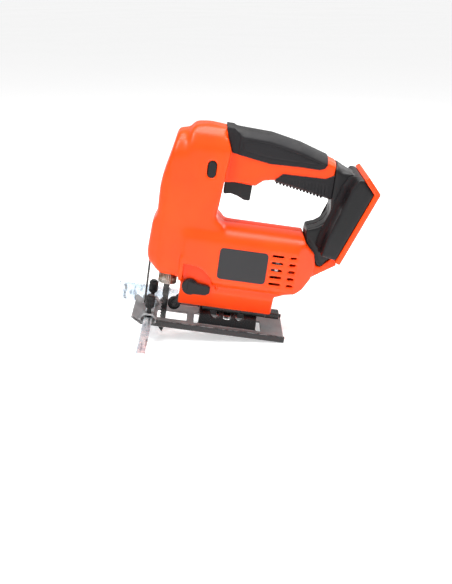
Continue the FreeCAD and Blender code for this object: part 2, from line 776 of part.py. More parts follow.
def make_foot_cover(side_name, side):
    body = new_body("foot_cover_" + side_name)
    slab_front = [
        (S.foot_toe_y - 19.0, S.foot_toe_height + 4.0), (S.foot_toe_y - 16.0, S.foot_toe_height + 22.0),
        (S.foot_toe_y - 6.0, S.foot_toe_height + 53.0), (S.foot_toe_y - 2.5, S.foot_toe_height + 68.0),
        (S.foot_toe_y + 3.0, S.foot_toe_height + 78.5),
    ]
    slab = [foot_point(-S.rim_thickness, dim(0.0))] + slab_front + [
        foot_point(dim(-19.5), S.slide_length + 4.5),
        foot_point(-S.rim_thickness, S.slide_length - 3.0),
    ]
    pad(body, YZ, [slab], 0, S.foot_half_width * side)
    pad(body, YZ, [NECK], 0, NECK_HALF * side)
    slab_room = [foot_point(-S.rim_thickness - 1.0, dim(3.0))]
    slab_room += [(y + 3.0, z + 2.0) for y, z in slab_front[:4]] + [
        foot_point(dim(-17.0), S.slide_length - 1.0),
        foot_point(-S.rim_thickness - 1.0, S.slide_length - 6.5),
    ]
    cut(body, YZ, [slab_room], 0, (S.foot_half_width - S.wall) * side)
    window = [
        foot_point(-S.rim_thickness - 2.0, dim(10.0)), foot_point(dim(1.0), dim(10.0)),
        foot_point(dim(1.0), S.slide_length - 14.0),
        foot_point(-S.rim_thickness - 2.0, S.slide_length - 14.0),
    ]
    cut(body, YZ, [window], 0, (S.rail_gap_half + S.rail_width) * side)
    neck_room = [
        (S.handle_rear - 1.0, S.handle_height - 10.5), (S.foot_toe_y + 1.0, S.handle_height - 8.0),
        (S.foot_toe_y + 0.5, S.handle_height + 9.0), (S.handle_rear - 1.0, S.handle_height + 15.0),
    ]
    cut(body, YZ, [neck_room], 0, (S.handle_half_width - S.wall) * side)


def make_battery_socket():
    """Orange rim, rails, terminal block and its blades, all in the tilted foot frame."""
    at = (0, S.foot_toe_y, S.foot_toe_height)
    tilt = -S.slide_angle
    top_z = S.slide_length
    rim = new_body("battery_rim", at, tilt)
    outline = [
        (0, -2.0), (0, top_z), (-17.2, top_z + 8.9), (-19.5, top_z + 4.5),
        (-S.rim_thickness, top_z - 3.0), (-S.rim_thickness, -2.0),
    ]
    half = S.foot_half_width
    pad(rim, YZ, [outline], -half, half)
    window_half = S.rail_gap_half + S.rail_width
    window = rectangle(-S.rim_thickness - 1.0, 10.0, 1.0, top_z - 14.0)
    cut(rim, YZ, [window], -window_half, window_half)
    rails = new_body("battery_rails", at, tilt)
    rail = rectangle(-S.rim_thickness - 2.0, 10.0, 0, top_z - 14.0)
    base = rectangle(-S.rim_thickness - 2.0, 10.0, -S.rim_thickness + 0.5, top_z - 14.0)
    groove = rectangle(-4.2, 9.0, -1.6, top_z - 20.0)
    pad(rails, YZ, [base], -window_half, window_half)
    for side in (LEFT, RIGHT):
        pad(rails, YZ, [rail], S.rail_gap_half * side, window_half * side)
        pad(rails, YZ, [rectangle(-1.6, 10.0, 0, top_z - 14.0)],
            (S.rail_gap_half - 2.5) * side, window_half * side)
        cut(rails, YZ, [groove], (S.rail_gap_half - 1.0) * side, (S.rail_gap_half + 2.4) * side)
    opening = rectangle(-12.0, 22.0, 12.0, 48.0)
    cut(rails, XZ, [opening], -S.rim_thickness - 3.0, 1.0)
    terminal = new_body("terminal_block", at, tilt)
    block(terminal, (-11.8, -14.0, 22.2), (11.8, -S.rim_thickness + 0.5, 47.8))
    slots = [rectangle(x - 0.4, 26.0, x + 0.4, 44.0) for x in (-8.0, -3.0, 3.0, 8.0)]
    cut(terminal, XZ, slots, -12.0, 0)
    blades = new_body("terminal_blades", at, tilt)
    pad(blades, XZ, slots, -12.0, -0.8)


def make_label():
    plate = new_body("rating_plate")
    face = S.body_half_width
    outline = rectangle(S.plate_front, S.motor_height - 14.5,
                        S.plate_front + S.plate_length, S.motor_height - 14.5 + S.plate_height)
    pad(plate, YZ, [outline], face, face + 0.6)
    round_edges(plate, dim(3.3), (1, 0, 0))


def make_lock_off():
    button = new_body("lock_off_button")
    near = S.nose_half_width - 7.0
    out = S.nose_half_width - 0.2
    for side in (LEFT, RIGHT):
        head = rectangle(S.lock_y - S.lock_half_width, S.lock_height - S.lock_half_height,
                         S.lock_y + S.lock_half_width, S.lock_height + S.lock_half_height)
        pad(button, YZ, [head], near * side, out * side)
    stem = rectangle(S.lock_y - 2.5, S.lock_height - 2.5, S.lock_y + 2.5, S.lock_height + 2.5)
    pad(button, YZ, [stem], -near, near)
    round_edges(button, S.lock_half_width - 0.2, (1, 0, 0),
                lambda spot: abs(spot.x) > near.value)


# ---------------------------------------------------------------- trigger and switch

def make_trigger():
    trigger = new_body("trigger")
    y = S.trigger_pivot_y
    z = S.trigger_pivot_height
    outline = [
        (y - 3.2, z - 20.4), (y + 3.5, z - 18.8), (y + 10.7, z - 20.6),
        (y + 16.5, z - 23.4), (y + 22.2, z - 23.6), (y + 22.6, z - 9.5),
        (y + 21.0, z + 2.0), (y + 3.0, z + 3.5), (y - 2.5, z + 2.0),
    ]
    half = S.trigger_half_width
    pad(trigger, YZ, [outline], -half, half)
    cut(trigger, YZ, [Ring(y, z, S.roller_pin_radius + S.running_gap)], -half, half)
    pocket = Ring(0, y + 14.0, dim(3.0))
    cut(trigger, XY, [pocket], z - 3.0, z + 4.0)
    round_edges(trigger, dim(1.6), (1, 0, 0), lambda spot: spot.z < z.value - 15.0)
    reach = S.handle_half_width - S.wall
    pin = bar_profile([(-reach, reach, S.roller_pin_radius)])
    lathe("trigger_pin", pin, XY, "H_Axis", (0, y, z))
    coil("trigger_spring", (0, y + 14.0, z - 2.3), dim(2.0), dim(0.35), dim(1.5), 5.2)
    switch = new_body("switch_body")
    block(switch, (-9.0, y + 1.0, z + 6.2), (9.0, y + 40.0, z + 24.0))
    block(switch, (-9.0, y + 26.0, z + 4.5), (9.0, y + 40.0, z + 6.2))
    round_edges(switch, dim(1.0), (0, 0, 1))


# ---------------------------------------------------------------- motor

def make_motor():
    axis_at = (0, 0, S.motor_height)
    radius = S.motor_radius
    inner = radius - S.can_wall
    can = lathe("motor_can", sleeve_profile(S.can_front, S.can_rear, inner, radius),
                YZ, "H_Axis", axis_at)
    lid = sleeve_profile(S.can_front, S.can_front + 1.6, S.bearing_radius, inner)
    turn(can, "Revolution", YZ, [lid], "H_Axis")
    magnets = new_body("motor_magnets", axis_at)
    magnet_inner = S.armature_radius + 0.7
    ring = [Ring(0, 0, inner - 0.05), Ring(0, 0, magnet_inner)]
    pad(magnets, XZ, ring, S.can_front + 6.0, S.can_rear - 12.0)
    for side in (LEFT, RIGHT):
        gap = rectangle(-5.0, 0, 5.0, radius * side)
        cut(magnets, XZ, [gap], S.can_front + 5.0, S.can_rear - 11.0)
    cap = lathe("motor_end_cap",
                sleeve_profile(S.can_rear, S.can_rear + 3.0, S.bearing_radius, radius - 0.7),
                YZ, "H_Axis", axis_at)
    cup = sleeve_profile(S.can_rear + 3.0, S.can_rear + 7.0, S.bearing_radius,
                         S.bearing_radius + 2.0)
    turn(cap, "Revolution", YZ, [cup], "H_Axis")
    bearing_bore = S.motor_shaft_radius + S.running_gap
    rear = sleeve_profile(S.can_rear + 1.0, S.can_rear + 1.0 + S.bearing_width,
                          bearing_bore, S.bearing_radius)
    lathe("rear_bearing", rear, YZ, "H_Axis", axis_at)
    front = sleeve_profile(S.casting_front, CASTING_REAR, bearing_bore, S.bearing_radius)
    lathe("front_bearing", front, YZ, "H_Axis", axis_at)
    brushes = new_body("brushes", axis_at)
    for side in (LEFT, RIGHT):
        brush = rectangle(6.6 * side, -2.0, 13.0 * side, 2.0)
        pad(brushes, XZ, [brush], S.can_rear - 8.0, S.can_rear - 2.0)
    holder = new_body("brush_holders", axis_at)
    for side in (LEFT, RIGHT):
        outer_box = rectangle(8.0 * side, -3.2, 17.5 * side, 3.2)
        pad(holder, XZ, [outer_box], S.can_rear - 9.2, S.can_rear)
        cut(holder, XZ, [rectangle(7.0 * side, -2.0, 13.0 * side, 2.0)],
            S.can_rear - 8.0, S.can_rear - 2.0)


def make_armature():
    axis_at = (0, 0, S.motor_height)
    step = S.casting_front - 1.5
    shaft = bar_profile([(S.gear_front - 3.0, step, S.spigot_radius),
                         (step, S.can_rear + 8.0, S.motor_shaft_radius)])
    lathe("motor_shaft", shaft, YZ, "H_Axis", axis_at)
    core = new_body("armature", axis_at)
    bore = Ring(0, 0, S.motor_shaft_radius)
    pad(core, XZ, [Ring(0, 0, S.armature_radius), bore], S.can_front + 8.0, S.can_rear - 16.0)
    slots = []
    for index in range(12):
        angle = math.radians(30.0 * index)
        slots.append(Ring((S.armature_radius - 1.2) * math.cos(angle),
                          (S.armature_radius - 1.2) * math.sin(angle), dim(1.8)))
    cut(core, XZ, slots, S.can_front + 7.0, S.can_rear - 15.0)
    commutator = new_body("commutator", axis_at)
    pad(commutator, XZ, [Ring(0, 0, dim(6.3)), bore], S.can_rear - 11.0, S.can_rear - 1.0)
    fan = new_body("cooling_fan", axis_at)
    fan_front = CASTING_REAR + 2.0
    pad(fan, XZ, [Ring(0, 0, S.fan_radius), bore], fan_front, fan_front + 1.5)
    pad(fan, XZ, [Ring(0, 0, dim(5.0)), bore], fan_front, fan_front + 9.0)
    blades = []
    for index in range(9):
        angle = 2.0 * math.pi * index / 9.0
        out_u = math.cos(angle)
        out_v = math.sin(angle)
        far = S.fan_radius - 0.5
        near = dim(4.5)
        blades.append([
            (near * out_u - out_v * 0.6, near * out_v + out_u * 0.6),
            (near * out_u + out_v * 0.6, near * out_v - out_u * 0.6),
            (far * out_u + out_v * 0.6, far * out_v - out_u * 0.6),
            (far * out_u - out_v * 0.6, far * out_v + out_u * 0.6),
        ])
    for blade in blades:
        pad(fan, XZ, [blade], fan_front + 1.0, fan_front + 8.0)


def tooth_corners(module, teeth, backlash, phase):
    """Closed outline of an involute spur gear, a few points on each flank."""
    pitch_radius = module * teeth / 2.0
    pressure = math.radians(20.0)
    base_radius = pitch_radius * math.cos(pressure)
    tip_radius = pitch_radius + module * 0.95
    root_radius = pitch_radius - module * 1.25

    def flank(radius):
        roll = math.acos(min(1.0, base_radius / radius))
        return math.tan(roll) - roll

    half = math.pi / (2.0 * teeth) - backlash / (2.0 * pitch_radius)
    half_at_base = half + flank(pitch_radius)
    start = max(base_radius, root_radius + 0.02)
    radii = [start + (tip_radius - start) * step / 3.0 for step in range(4)]
    corners = []
    for tooth in range(int(round(teeth))):
        centre = phase + 2.0 * math.pi * tooth / teeth
        side = [(radius, half_at_base - flank(radius)) for radius in radii]
        steps = [(root_radius, -side[0][1])] + [(radius, -angle) for radius, angle in side]
        steps += [(radius, angle) for radius, angle in reversed(side)]
        steps.append((root_radius, side[0][1]))
        for radius, angle in steps:
            corners.append((radius * math.cos(centre + angle), radius * math.sin(centre + angle)))
    return corners


def gear_shape(module, teeth, width, backlash, phase, bores):
    """A spur gear about Y with bores given as (x, z, radius)."""
    corners = tooth_corners(module, teeth, backlash, phase)
    wire = Part.makePolygon([FreeCAD.Vector(x, 0, z) for x, z in corners + corners[:1]])
    solid = Part.Face(wire).extrude(FreeCAD.Vector(0, width, 0))
    for x, z, radius in bores:
        hole = Part.makeCylinder(radius, width + 2.0, FreeCAD.Vector(x, -1, z),
                                 FreeCAD.Vector(0, 1, 0))
        solid = solid.cut(hole)
    return solid


def make_gears():
    """Drive gear and pinion in mesh; a pinion gap faces a gear tooth at rest."""
    module = S.gear_module.value
    backlash = 0.12
    down = -math.pi / 2.0
    web = [(0.0, 0.0, (S.gear_shaft_radius + S.running_gap).value),
           (CRANK.value, 0.0, S.crank_pin_radius.value)]
    for index in range(4):
        angle = math.radians(60.0 * (index + 1))
        web.append((13.0 * math.cos(angle), 13.0 * math.sin(angle), 3.0))
    wheel = gear_shape(module, S.gear_teeth.value, S.gear_width.value, backlash, down, web)
    gear = doc.addObject("Part::Feature", "drive_gear")
    gear.Label = "drive_gear"
    gear.Shape = wheel
    gear.Placement.Base = FreeCAD.Vector(0, S.gear_front.value, GEAR_HEIGHT.value)
    parts.append(gear)
    half_tooth = math.pi / S.pinion_teeth.value
    small = gear_shape(module, S.pinion_teeth.value, S.gear_width.value + 3.0, backlash,
                       math.pi / 2.0 + half_tooth, [(0.0, 0.0, S.spigot_radius.value)])
    pinion = doc.addObject("Part::Feature", "pinion")
    pinion.Label = "pinion"
    pinion.Shape = small
    pinion.Placement.Base = FreeCAD.Vector(0, S.gear_front.value - 1.5, S.motor_height.value)
    parts.append(pinion)
    rear = S.gear_front + S.gear_width
    pin = bar_profile([(-S.plunger_radius - 0.6, rear, S.crank_pin_radius)])
    lathe("crank_pin", pin, YZ, "H_Axis", (CRANK, 0, GEAR_HEIGHT))
    roller = sleeve_profile(-S.plunger_radius + 0.2, S.plunger_radius - 0.2,
                            S.crank_pin_radius + S.running_gap, S.crank_roller_radius)
    lathe("crank_roller", roller, YZ, "H_Axis", (CRANK, 0, GEAR_HEIGHT))
    shaft = bar_profile([(S.gear_front - 1.0, CASTING_REAR, S.gear_shaft_radius)])
    lathe("gear_shaft", shaft, YZ, "H_Axis", (0, 0, GEAR_HEIGHT))


def make_gear_housing():
    """Casting that carries the front bearing, the gear shaft and the plunger's bushes."""
    casting = new_body("gear_housing")
    half = S.casting_half_width
    low = S.lower_bush_height - 1.0
    high = S.upper_bush_height + S.bush_length + 2.0
    outline = [
        (-half, low + 16.0), (-half + 11.0, low), (half - 11.0, low), (half, low + 16.0),
        (half, high - 14.0), (half - 10.0, high), (-half + 10.0, high), (-half, high - 14.0),
    ]
    holes = [Ring(0, S.motor_height, S.bearing_radius), Ring(0, GEAR_HEIGHT, S.gear_shaft_radius)]
    pad(casting, XZ, [outline] + holes, S.casting_front, CASTING_REAR)
    arm_half = S.plunger_radius + S.bush_wall + 3.0
    for base in (S.lower_bush_height - 1.0, S.upper_bush_height - 1.0):
        arm = rectangle(-arm_half, -arm_half, arm_half, S.casting_front)
        bore = Ring(0, 0, S.plunger_radius + S.bush_wall)
        pad(casting, XY, [arm, bore], base, base + S.bush_length + 1.0)
    for label, base in (("plunger_bush_lower", S.lower_bush_height),
                        ("plunger_bush_upper", S.upper_bush_height)):
        sleeve = sleeve_profile(base, base + S.bush_length, S.plunger_radius + S.running_gap,
                                S.plunger_radius + S.bush_wall)
        lathe(label, swap(sleeve), XZ, "V_Axis", (0, 0, 0))


# ---------------------------------------------------------------- plunger, clamp, blade

def make_plunger():
    rod = S.plunger_radius
    plunger = new_body("plunger")
    slot_half_height = S.crank_roller_radius + S.yoke_lag
    slot_half_length = CRANK + S.crank_roller_radius + 0.5
    yoke_half_height = slot_half_height + 3.6
    yoke_half_length = slot_half_length + 3.5
    pad(plunger, XY, [Ring(0, 0, rod)], S.clamp_bottom + 5.0, GEAR_HEIGHT - slot_half_height - 1.0)
    pad(plunger, XY, [Ring(0, 0, rod)], GEAR_HEIGHT + slot_half_height + 1.0, S.plunger_top)
    yoke = rectangle(-yoke_half_length, GEAR_HEIGHT - yoke_half_height,
                     yoke_half_length, GEAR_HEIGHT + yoke_half_height)
    slot = rectangle(-slot_half_length, GEAR_HEIGHT - slot_half_height,
                     slot_half_length, GEAR_HEIGHT + slot_half_height)
    pad(plunger, XZ, [yoke], -rod, rod)
    cut(plunger, XZ, [slot], -rod - 1.0, rod + 1.0)
    round_edges(plunger, dim(2.0), (0, 1, 0))


def make_clamp():
    clamp = new_body("blade_clamp")
    thin = S.blade_thickness * 0.5
    broad = S.blade_width * 0.5
    shank = rectangle(-thin, -broad, thin, broad)
    pad(clamp, XY, [Ring(0, 0, S.clamp_radius), shank], S.clamp_bottom, S.clamp_bottom + 5.0)
    pad(clamp, XY, [Ring(0, 0, S.clamp_radius), Ring(0, 0, S.plunger_radius)],
        S.clamp_bottom + 5.0, S.clamp_top)
    bore = S.clamp_radius + 0.1
    wide = S.collar_radius - 1.0
    base = S.clamp_bottom - 0.5
    collar = [
        (bore, base), (S.collar_radius, base), (S.collar_radius, base + 11.5), (bore, base + 11.5),
        (bore, base + 9.5), (wide, base + 9.5), (wide, base + 3.5), (bore, base + 3.5),
    ]
    lathe("clamp_collar", collar, XZ, "V_Axis", (0, 0, 0))
    coil("clamp_spring", (0, 0, base + 4.0), S.clamp_radius + 0.7, dim(0.35), dim(1.0), 4.5)


def make_blade():
    """Toothed front edge, straight back and a slanted point."""
    blade = new_body("blade")
    front = -S.blade_width * 0.5
    back = S.blade_width * 0.5
    corners = [(front, S.clamp_bottom + 5.0), (back, S.clamp_bottom + 5.0),
               (back, -S.blade_drop + 6.0), (dim(0.6), -S.blade_drop), (front, -S.blade_drop + 4.3)]
    pitch = 3.0
    for index in range(11):
        low = -S.blade_drop + 4.3 + pitch * index
        corners.append((front + 1.1, low + 0.5))
        corners.append((front, low + pitch))
    pad(blade, YZ, [corners], -S.blade_thickness * 0.5, S.blade_thickness * 0.5)


# ---------------------------------------------------------------- guide roller and selector

def make_guide():
    half = S.roller_width * 0.5
    groove = S.blade_thickness * 0.5 + 0.4
    bore = S.roller_pin_radius + S.running_gap
    profile = [
        (-half, bore), (half, bore), (half, S.roller_radius), (groove, S.roller_radius),
        (groove, S.roller_radius - 0.6), (-groove, S.roller_radius - 0.6),
        (-groove, S.roller_radius), (-half, S.roller_radius),
    ]
    lathe("guide_roller", profile, XY, "H_Axis", (0, ROLLER_Y, S.roller_height))
    arm_in = half + S.free_gap
    arm_out = arm_in + 1.8
    fork = new_body("roller_fork")
    y = ROLLER_Y
    z = S.roller_height
    pivot_y = S.fork_pivot_y
    pivot_z = S.fork_pivot_height
    arm = [
        (y - 2.6, z + 1.5), (y - 1.5, z - 2.4), (y + 2.4, z - 2.6), (pivot_y + 3.0, pivot_z - 5.0),
        (pivot_y + 4.0, pivot_z), (pivot_y + 2.0, pivot_z + 4.0), (pivot_y - 3.5, pivot_z + 3.5),
    ]
    pin_bore = Ring(pivot_y, pivot_z, S.fork_pin_radius + S.running_gap)
    roller_bore = Ring(y, z, S.roller_pin_radius)
    pad(fork, YZ, [arm, pin_bore, roller_bore], arm_in, arm_out)
    pad(fork, YZ, [arm, pin_bore, roller_bore], -arm_in, -arm_out)
    pad(fork, YZ, [Ring(pivot_y, pivot_z, S.fork_pin_radius + 1.8), pin_bore], -arm_in, arm_in)
    pin = bar_profile([(-arm_out, arm_out, S.roller_pin_radius)])
    lathe("roller_pin", pin, XY, "H_Axis", (0, y, z))
    reach = S.skirt_half_width - S.wall - 0.5
    lathe("fork_pin", bar_profile([(-reach, reach, S.fork_pin_radius)]), XY, "H_Axis",
          (0, pivot_y, pivot_z))


def make_selector():
    at = (0, S.selector_y, S.selector_height)
    steps = [(dim(9.5), dim(12.5), dim(4.6)),
             (dim(12.5), KNOB_FACE, S.selector_shaft_radius)]
    lathe("selector_shaft", bar_profile(steps), XY, "H_Axis", at)
    knob = new_body("selector_knob", at)
    face = KNOB_FACE + S.knob_thickness
    pad(knob, YZ, [Ring(0, 0, dim(7.6))], KNOB_FACE, face - 1.0)
    lever = [(-2.0, -6.4), (15.0, -6.0), (18.6, -3.6), (18.6, 1.4), (16.4, 3.2), (4.0, 4.6),
             (-2.0, 7.0)]
    pad(knob, YZ, [lever], KNOB_FACE, face)


# ---------------------------------------------------------------- shoe and bevel

def make_shoe():
    shoe = new_body("shoe")
    inner = S.hump_radius - S.shoe_sheet
    half = S.shoe_half_width
    # half-cylinder hump along the tool
    pad(shoe, XZ, [Ring(0, 0, S.hump_radius), Ring(0, 0, inner)], S.hump_front, S.hump_rear)
    below = rectangle(-S.hump_radius - 1.0, -S.hump_radius - 1.0, S.hump_radius + 1.0, 0)
    cut(shoe, XZ, [below], S.hump_front - 1.0, S.hump_rear + 1.0)
    bend = S.shoe_front + 10.0
    plate = rectangle(-half, bend, half, S.shoe_rear)
    window = S.window_half_width
    openings = [
        rectangle(-window, S.fence_y + 7.5, window, 23.0),
        rectangle(-inner, 30.0, inner, S.hump_rear + 5.0),
    ]
    pad(shoe, XY, [plate] + openings, 0, PLATE_TOP)
    lip = [(bend + 0.5, 0), (bend + 0.5, PLATE_TOP), (bend - 0.4, PLATE_TOP),
           (S.shoe_front + 1.2, 7.2), (S.shoe_front, 5.6), (bend - 0.2, 0)]
    pad(shoe, YZ, [lip], -half, half)
    for side in (LEFT, RIGHT):
        wall = rectangle((half - S.shoe_sheet) * side, -5.0, half * side, S.shoe_rear)
        pad(shoe, XY, [wall], 0, S.flange_height)
        arch_outer = [
            (S.fence_y + 8.0, PLATE_TOP - 0.5), (S.fence_y + 8.0, 5.5), (S.fence_y + 4.4, 9.3),
            (S.fence_y - 4.4, 9.3), (S.fence_y - 8.0, 5.5), (S.fence_y - 8.0, PLATE_TOP - 0.5),
        ]
        near = (FENCE_X - 5.0) * side
        far = (FENCE_X + 5.0) * side
        pad(shoe, YZ, [arch_outer], near, far)
        arch_inner = [
            (S.fence_y + 6.3, PLATE_TOP), (S.fence_y + 6.3, 5.0), (S.fence_y + 3.7, 7.7),
            (S.fence_y - 3.7, 7.7), (S.fence_y - 6.3, 5.0), (S.fence_y - 6.3, PLATE_TOP),
        ]
        cut(shoe, YZ, [arch_inner], near * 0.9, far * 1.1)
        hole = Ring(FENCE_X * side, S.fence_y, dim(2.0) + S.running_gap)
        cut(shoe, XY, [hole], 7.0, 10.0)
    # sight holes across the hump and the curved slot for the bevel bolt
    reach = S.hump_radius + 1.0
    holes = [Ring(S.bevel_bolt_y - 11.5, 13.2, dim(4.2)), Ring(S.bevel_bolt_y + 11.5, 13.2, dim(4.2))]
    cut(shoe, YZ, holes, -reach, reach)
    slot_reach = S.hump_radius * math.sin(math.radians(57.0))
    slot_half = S.bevel_bolt_radius + 0.6
    slot = rectangle(-slot_reach, S.bevel_bolt_y - slot_half, slot_reach, S.bevel_bolt_y + slot_half)
    cut(shoe, XY, [slot], PLATE_TOP + 4.0, S.hump_radius + 1.0)


def make_bevel_parts():
    bracket = new_body("bevel_bracket")
    half = 10.0
    section = [(-half, 14.2), (half, 14.2), (half, S.skirt_bottom), (-half, S.skirt_bottom)]
    front = S.hump_front + 2.0
    rear = S.hump_rear + 8.0
    pad(bracket, XZ, [section], front, rear)
    cut(bracket, XZ, [Ring(0, 0, SADDLE_RADIUS)], front - 1.0, rear + 1.0)
    block(bracket, (-8.0, rear - 2.0, 13.4), (8.0, S.skirt_rear - 0.5, S.skirt_bottom))
    block(bracket, (-8.0, S.skirt_rear - 1.0, 13.4), (8.0, rear + 13.0, 18.7))
    hole = Ring(0, S.bevel_bolt_y, S.bevel_bolt_radius + S.free_gap)
    cut(bracket, XY, [hole], 12.0, S.skirt_bottom + 1.0)
    plate = new_body("clamp_plate")
    outer = S.hump_radius - S.shoe_sheet - S.free_gap
    pad(plate, XZ, [Ring(0, 0, outer)], S.bevel_bolt_y - 10.0, S.bevel_bolt_y + 10.0)
    low = outer - 4.2
    keep = [(-20.0, -20.0), (20.0, -20.0), (20.0, low), (-20.0, low)]
    cut(plate, XZ, [keep], S.bevel_bolt_y - 11.0, S.bevel_bolt_y + 11.0)
    cut(plate, XY, [hole], 5.0, 16.0)
    steps = [(low - 4.4, low, dim(4.4)), (low, dim(31.0), S.bevel_bolt_radius)]
    bolt = lathe("bevel_bolt", swap(bar_profile(steps)), XZ, "V_Axis", (0, S.bevel_bolt_y, 0))
    socket = []
    for index in range(6):
        angle = math.radians(60.0 * index)
        socket.append((2.4 * math.cos(angle), 2.4 * math.sin(angle)))
    cut(bolt, XY, [socket], low - 5.0, low - 1.6)
    nut = new_body("bevel_nut", (0, S.bevel_bolt_y, 0))
    hexagon = []
    for index in range(6):
        angle = math.radians(60.0 * index)
        hexagon.append((4.9 * math.cos(angle), 4.9 * math.sin(angle)))
    floor = S.skirt_bottom + S.wall
    pad(nut, XY, [hexagon, Ring(0, 0, S.bevel_bolt_radius + S.running_gap)], floor, floor + 4.5)


def make_fence():
    fence = new_body("rip_fence")
    low = PLATE_TOP + S.free_gap
    high = low + S.fence_bar_thickness
    half = S.fence_bar_width * 0.5
    block(fence, (S.fence_far, S.fence_y - half, low), (S.fence_near, S.fence_y + half, high))
    block(fence, (S.fence_far - 3.0, S.fence_y - 37.5, dim(-13.0)),
          (S.fence_far, S.fence_y + 24.5, high))
    round_edges(fence, dim(2.5), (1, 0, 0),
                lambda spot: abs(spot.y - S.fence_y.value) > 20.0)
    shaft_top = dim(14.0)
    steps = [(high + 0.1, shaft_top, dim(2.0)),
             (shaft_top, shaft_top + 1.2, S.thumb_radius - 0.9),
             (shaft_top + 1.2, shaft_top + S.thumb_length - 1.2, S.thumb_radius),
             (shaft_top + S.thumb_length - 1.2, shaft_top + S.thumb_length, S.thumb_radius - 1.0)]
    for name, side in (("left", LEFT), ("right", RIGHT)):
        lathe("fence_screw_" + name, swap(bar_profile(steps)), XZ, "V_Axis",
              (FENCE_X * side, S.fence_y, 0))


def make_guard():
    """Bent wire in front of the blade."""
    guard = new_body("guard_wire")
    half = S.guard_half_width
    bend_height = dim(15.0)
    top = S.mouth_height + 12.0
    for side in (LEFT, RIGHT):
        pad(guard, XY, [Ring(half * side, S.guard_y, S.guard_radius)], bend_height, top)
    feature = guard.newObject("PartDesign::Revolution", "guard_bend")
    sketch = draw(guard, XY, bend_height, [Ring(half, S.guard_y, S.guard_radius)])
    feature.Profile = sketch
    feature.ReferenceAxis = (sketch, ["V_Axis"])
    feature.Angle = 180.0
    feature.Reversed = False


def make_leads():
    """Wires from the foot to the switch, and from the switch to the motor."""
    y = S.trigger_pivot_y
    z = LEAD_HEIGHT
    battery = new_body("battery_leads")
    for side in (LEFT, RIGHT):
        run = Ring(3.4 * side, z, dim(1.4))
        pad(battery, XZ, [run], y + 40.0, S.foot_toe_y - 8.0)
    motor = new_body("motor_leads")
    for side in (LEFT, RIGHT):
        run = Ring(10.6 * side, S.column_rear - 7.6, dim(1.2))
        pad(motor, XY, [run], S.motor_height + 24.5, z - 2.0)


def build_all():
    make_housing("housing_left", LEFT)
    make_housing("housing_right", RIGHT)
    make_screws()
    make_grips("left", LEFT)
    make_grips("right", RIGHT)
    make_foot_cover("left", LEFT)
    make_foot_cover("right", RIGHT)
    make_battery_socket()
    make_label()
    make_lock_off()
    make_trigger()
    make_motor()
    make_armature()
    make_gears()
    make_gear_housing()
    make_plunger()
    make_clamp()
    make_blade()
    make_guide()
    make_selector()
    make_shoe()
    make_bevel_parts()
    make_fence()
    make_guard()
    make_leads()
    doc.recompute()


def check_and_write():
    for item in doc.Objects:
        if "Invalid" in item.State or "Error" in item.State:
            raise RuntimeError("failed object: " + item.Name + " " + str(item.State))
    for item in parts:
        shape = item.Shape
        if shape.isNull() or not shape.isValid() or not shape.Solids:
            raise RuntimeError("bad shape: " + item.Label)
    os.makedirs("parts", exist_ok=True)
    for item in parts:
        item.Shape.exportStep(os.path.join("parts", item.Label + ".step"))
        print(item.Label, len(item.Shape.Solids), round(item.Shape.Volume, 1))


build_all()
check_and_write()
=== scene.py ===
import json
import math

import bmesh
import bpy
import numpy as np
from mathutils import Matrix, Vector


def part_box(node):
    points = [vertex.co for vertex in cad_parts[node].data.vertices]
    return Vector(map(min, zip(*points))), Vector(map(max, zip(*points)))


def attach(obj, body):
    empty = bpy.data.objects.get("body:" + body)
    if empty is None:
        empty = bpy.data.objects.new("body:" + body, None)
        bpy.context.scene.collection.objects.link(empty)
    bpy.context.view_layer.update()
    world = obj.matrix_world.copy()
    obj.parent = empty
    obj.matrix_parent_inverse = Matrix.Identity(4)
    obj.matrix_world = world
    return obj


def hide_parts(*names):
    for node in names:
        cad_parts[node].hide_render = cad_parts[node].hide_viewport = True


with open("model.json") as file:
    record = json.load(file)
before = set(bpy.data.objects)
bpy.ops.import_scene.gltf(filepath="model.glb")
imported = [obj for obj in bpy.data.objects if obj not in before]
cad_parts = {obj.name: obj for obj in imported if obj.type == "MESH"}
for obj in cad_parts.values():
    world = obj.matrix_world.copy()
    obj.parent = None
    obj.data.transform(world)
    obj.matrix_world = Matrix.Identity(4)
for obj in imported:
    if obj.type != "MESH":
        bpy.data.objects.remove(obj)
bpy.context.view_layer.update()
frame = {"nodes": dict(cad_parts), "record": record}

# Lengths in Blender are metres. Numbers in millimetres are multiplied by MM where they are used.
MM = 0.001
SIDES = ("left", "right")
BODY_OF = {node: body for body, nodes in frame["record"]["behaviour"]["bodies"].items()
           for node in nodes}


# ---------------------------------------------------------------- node helpers

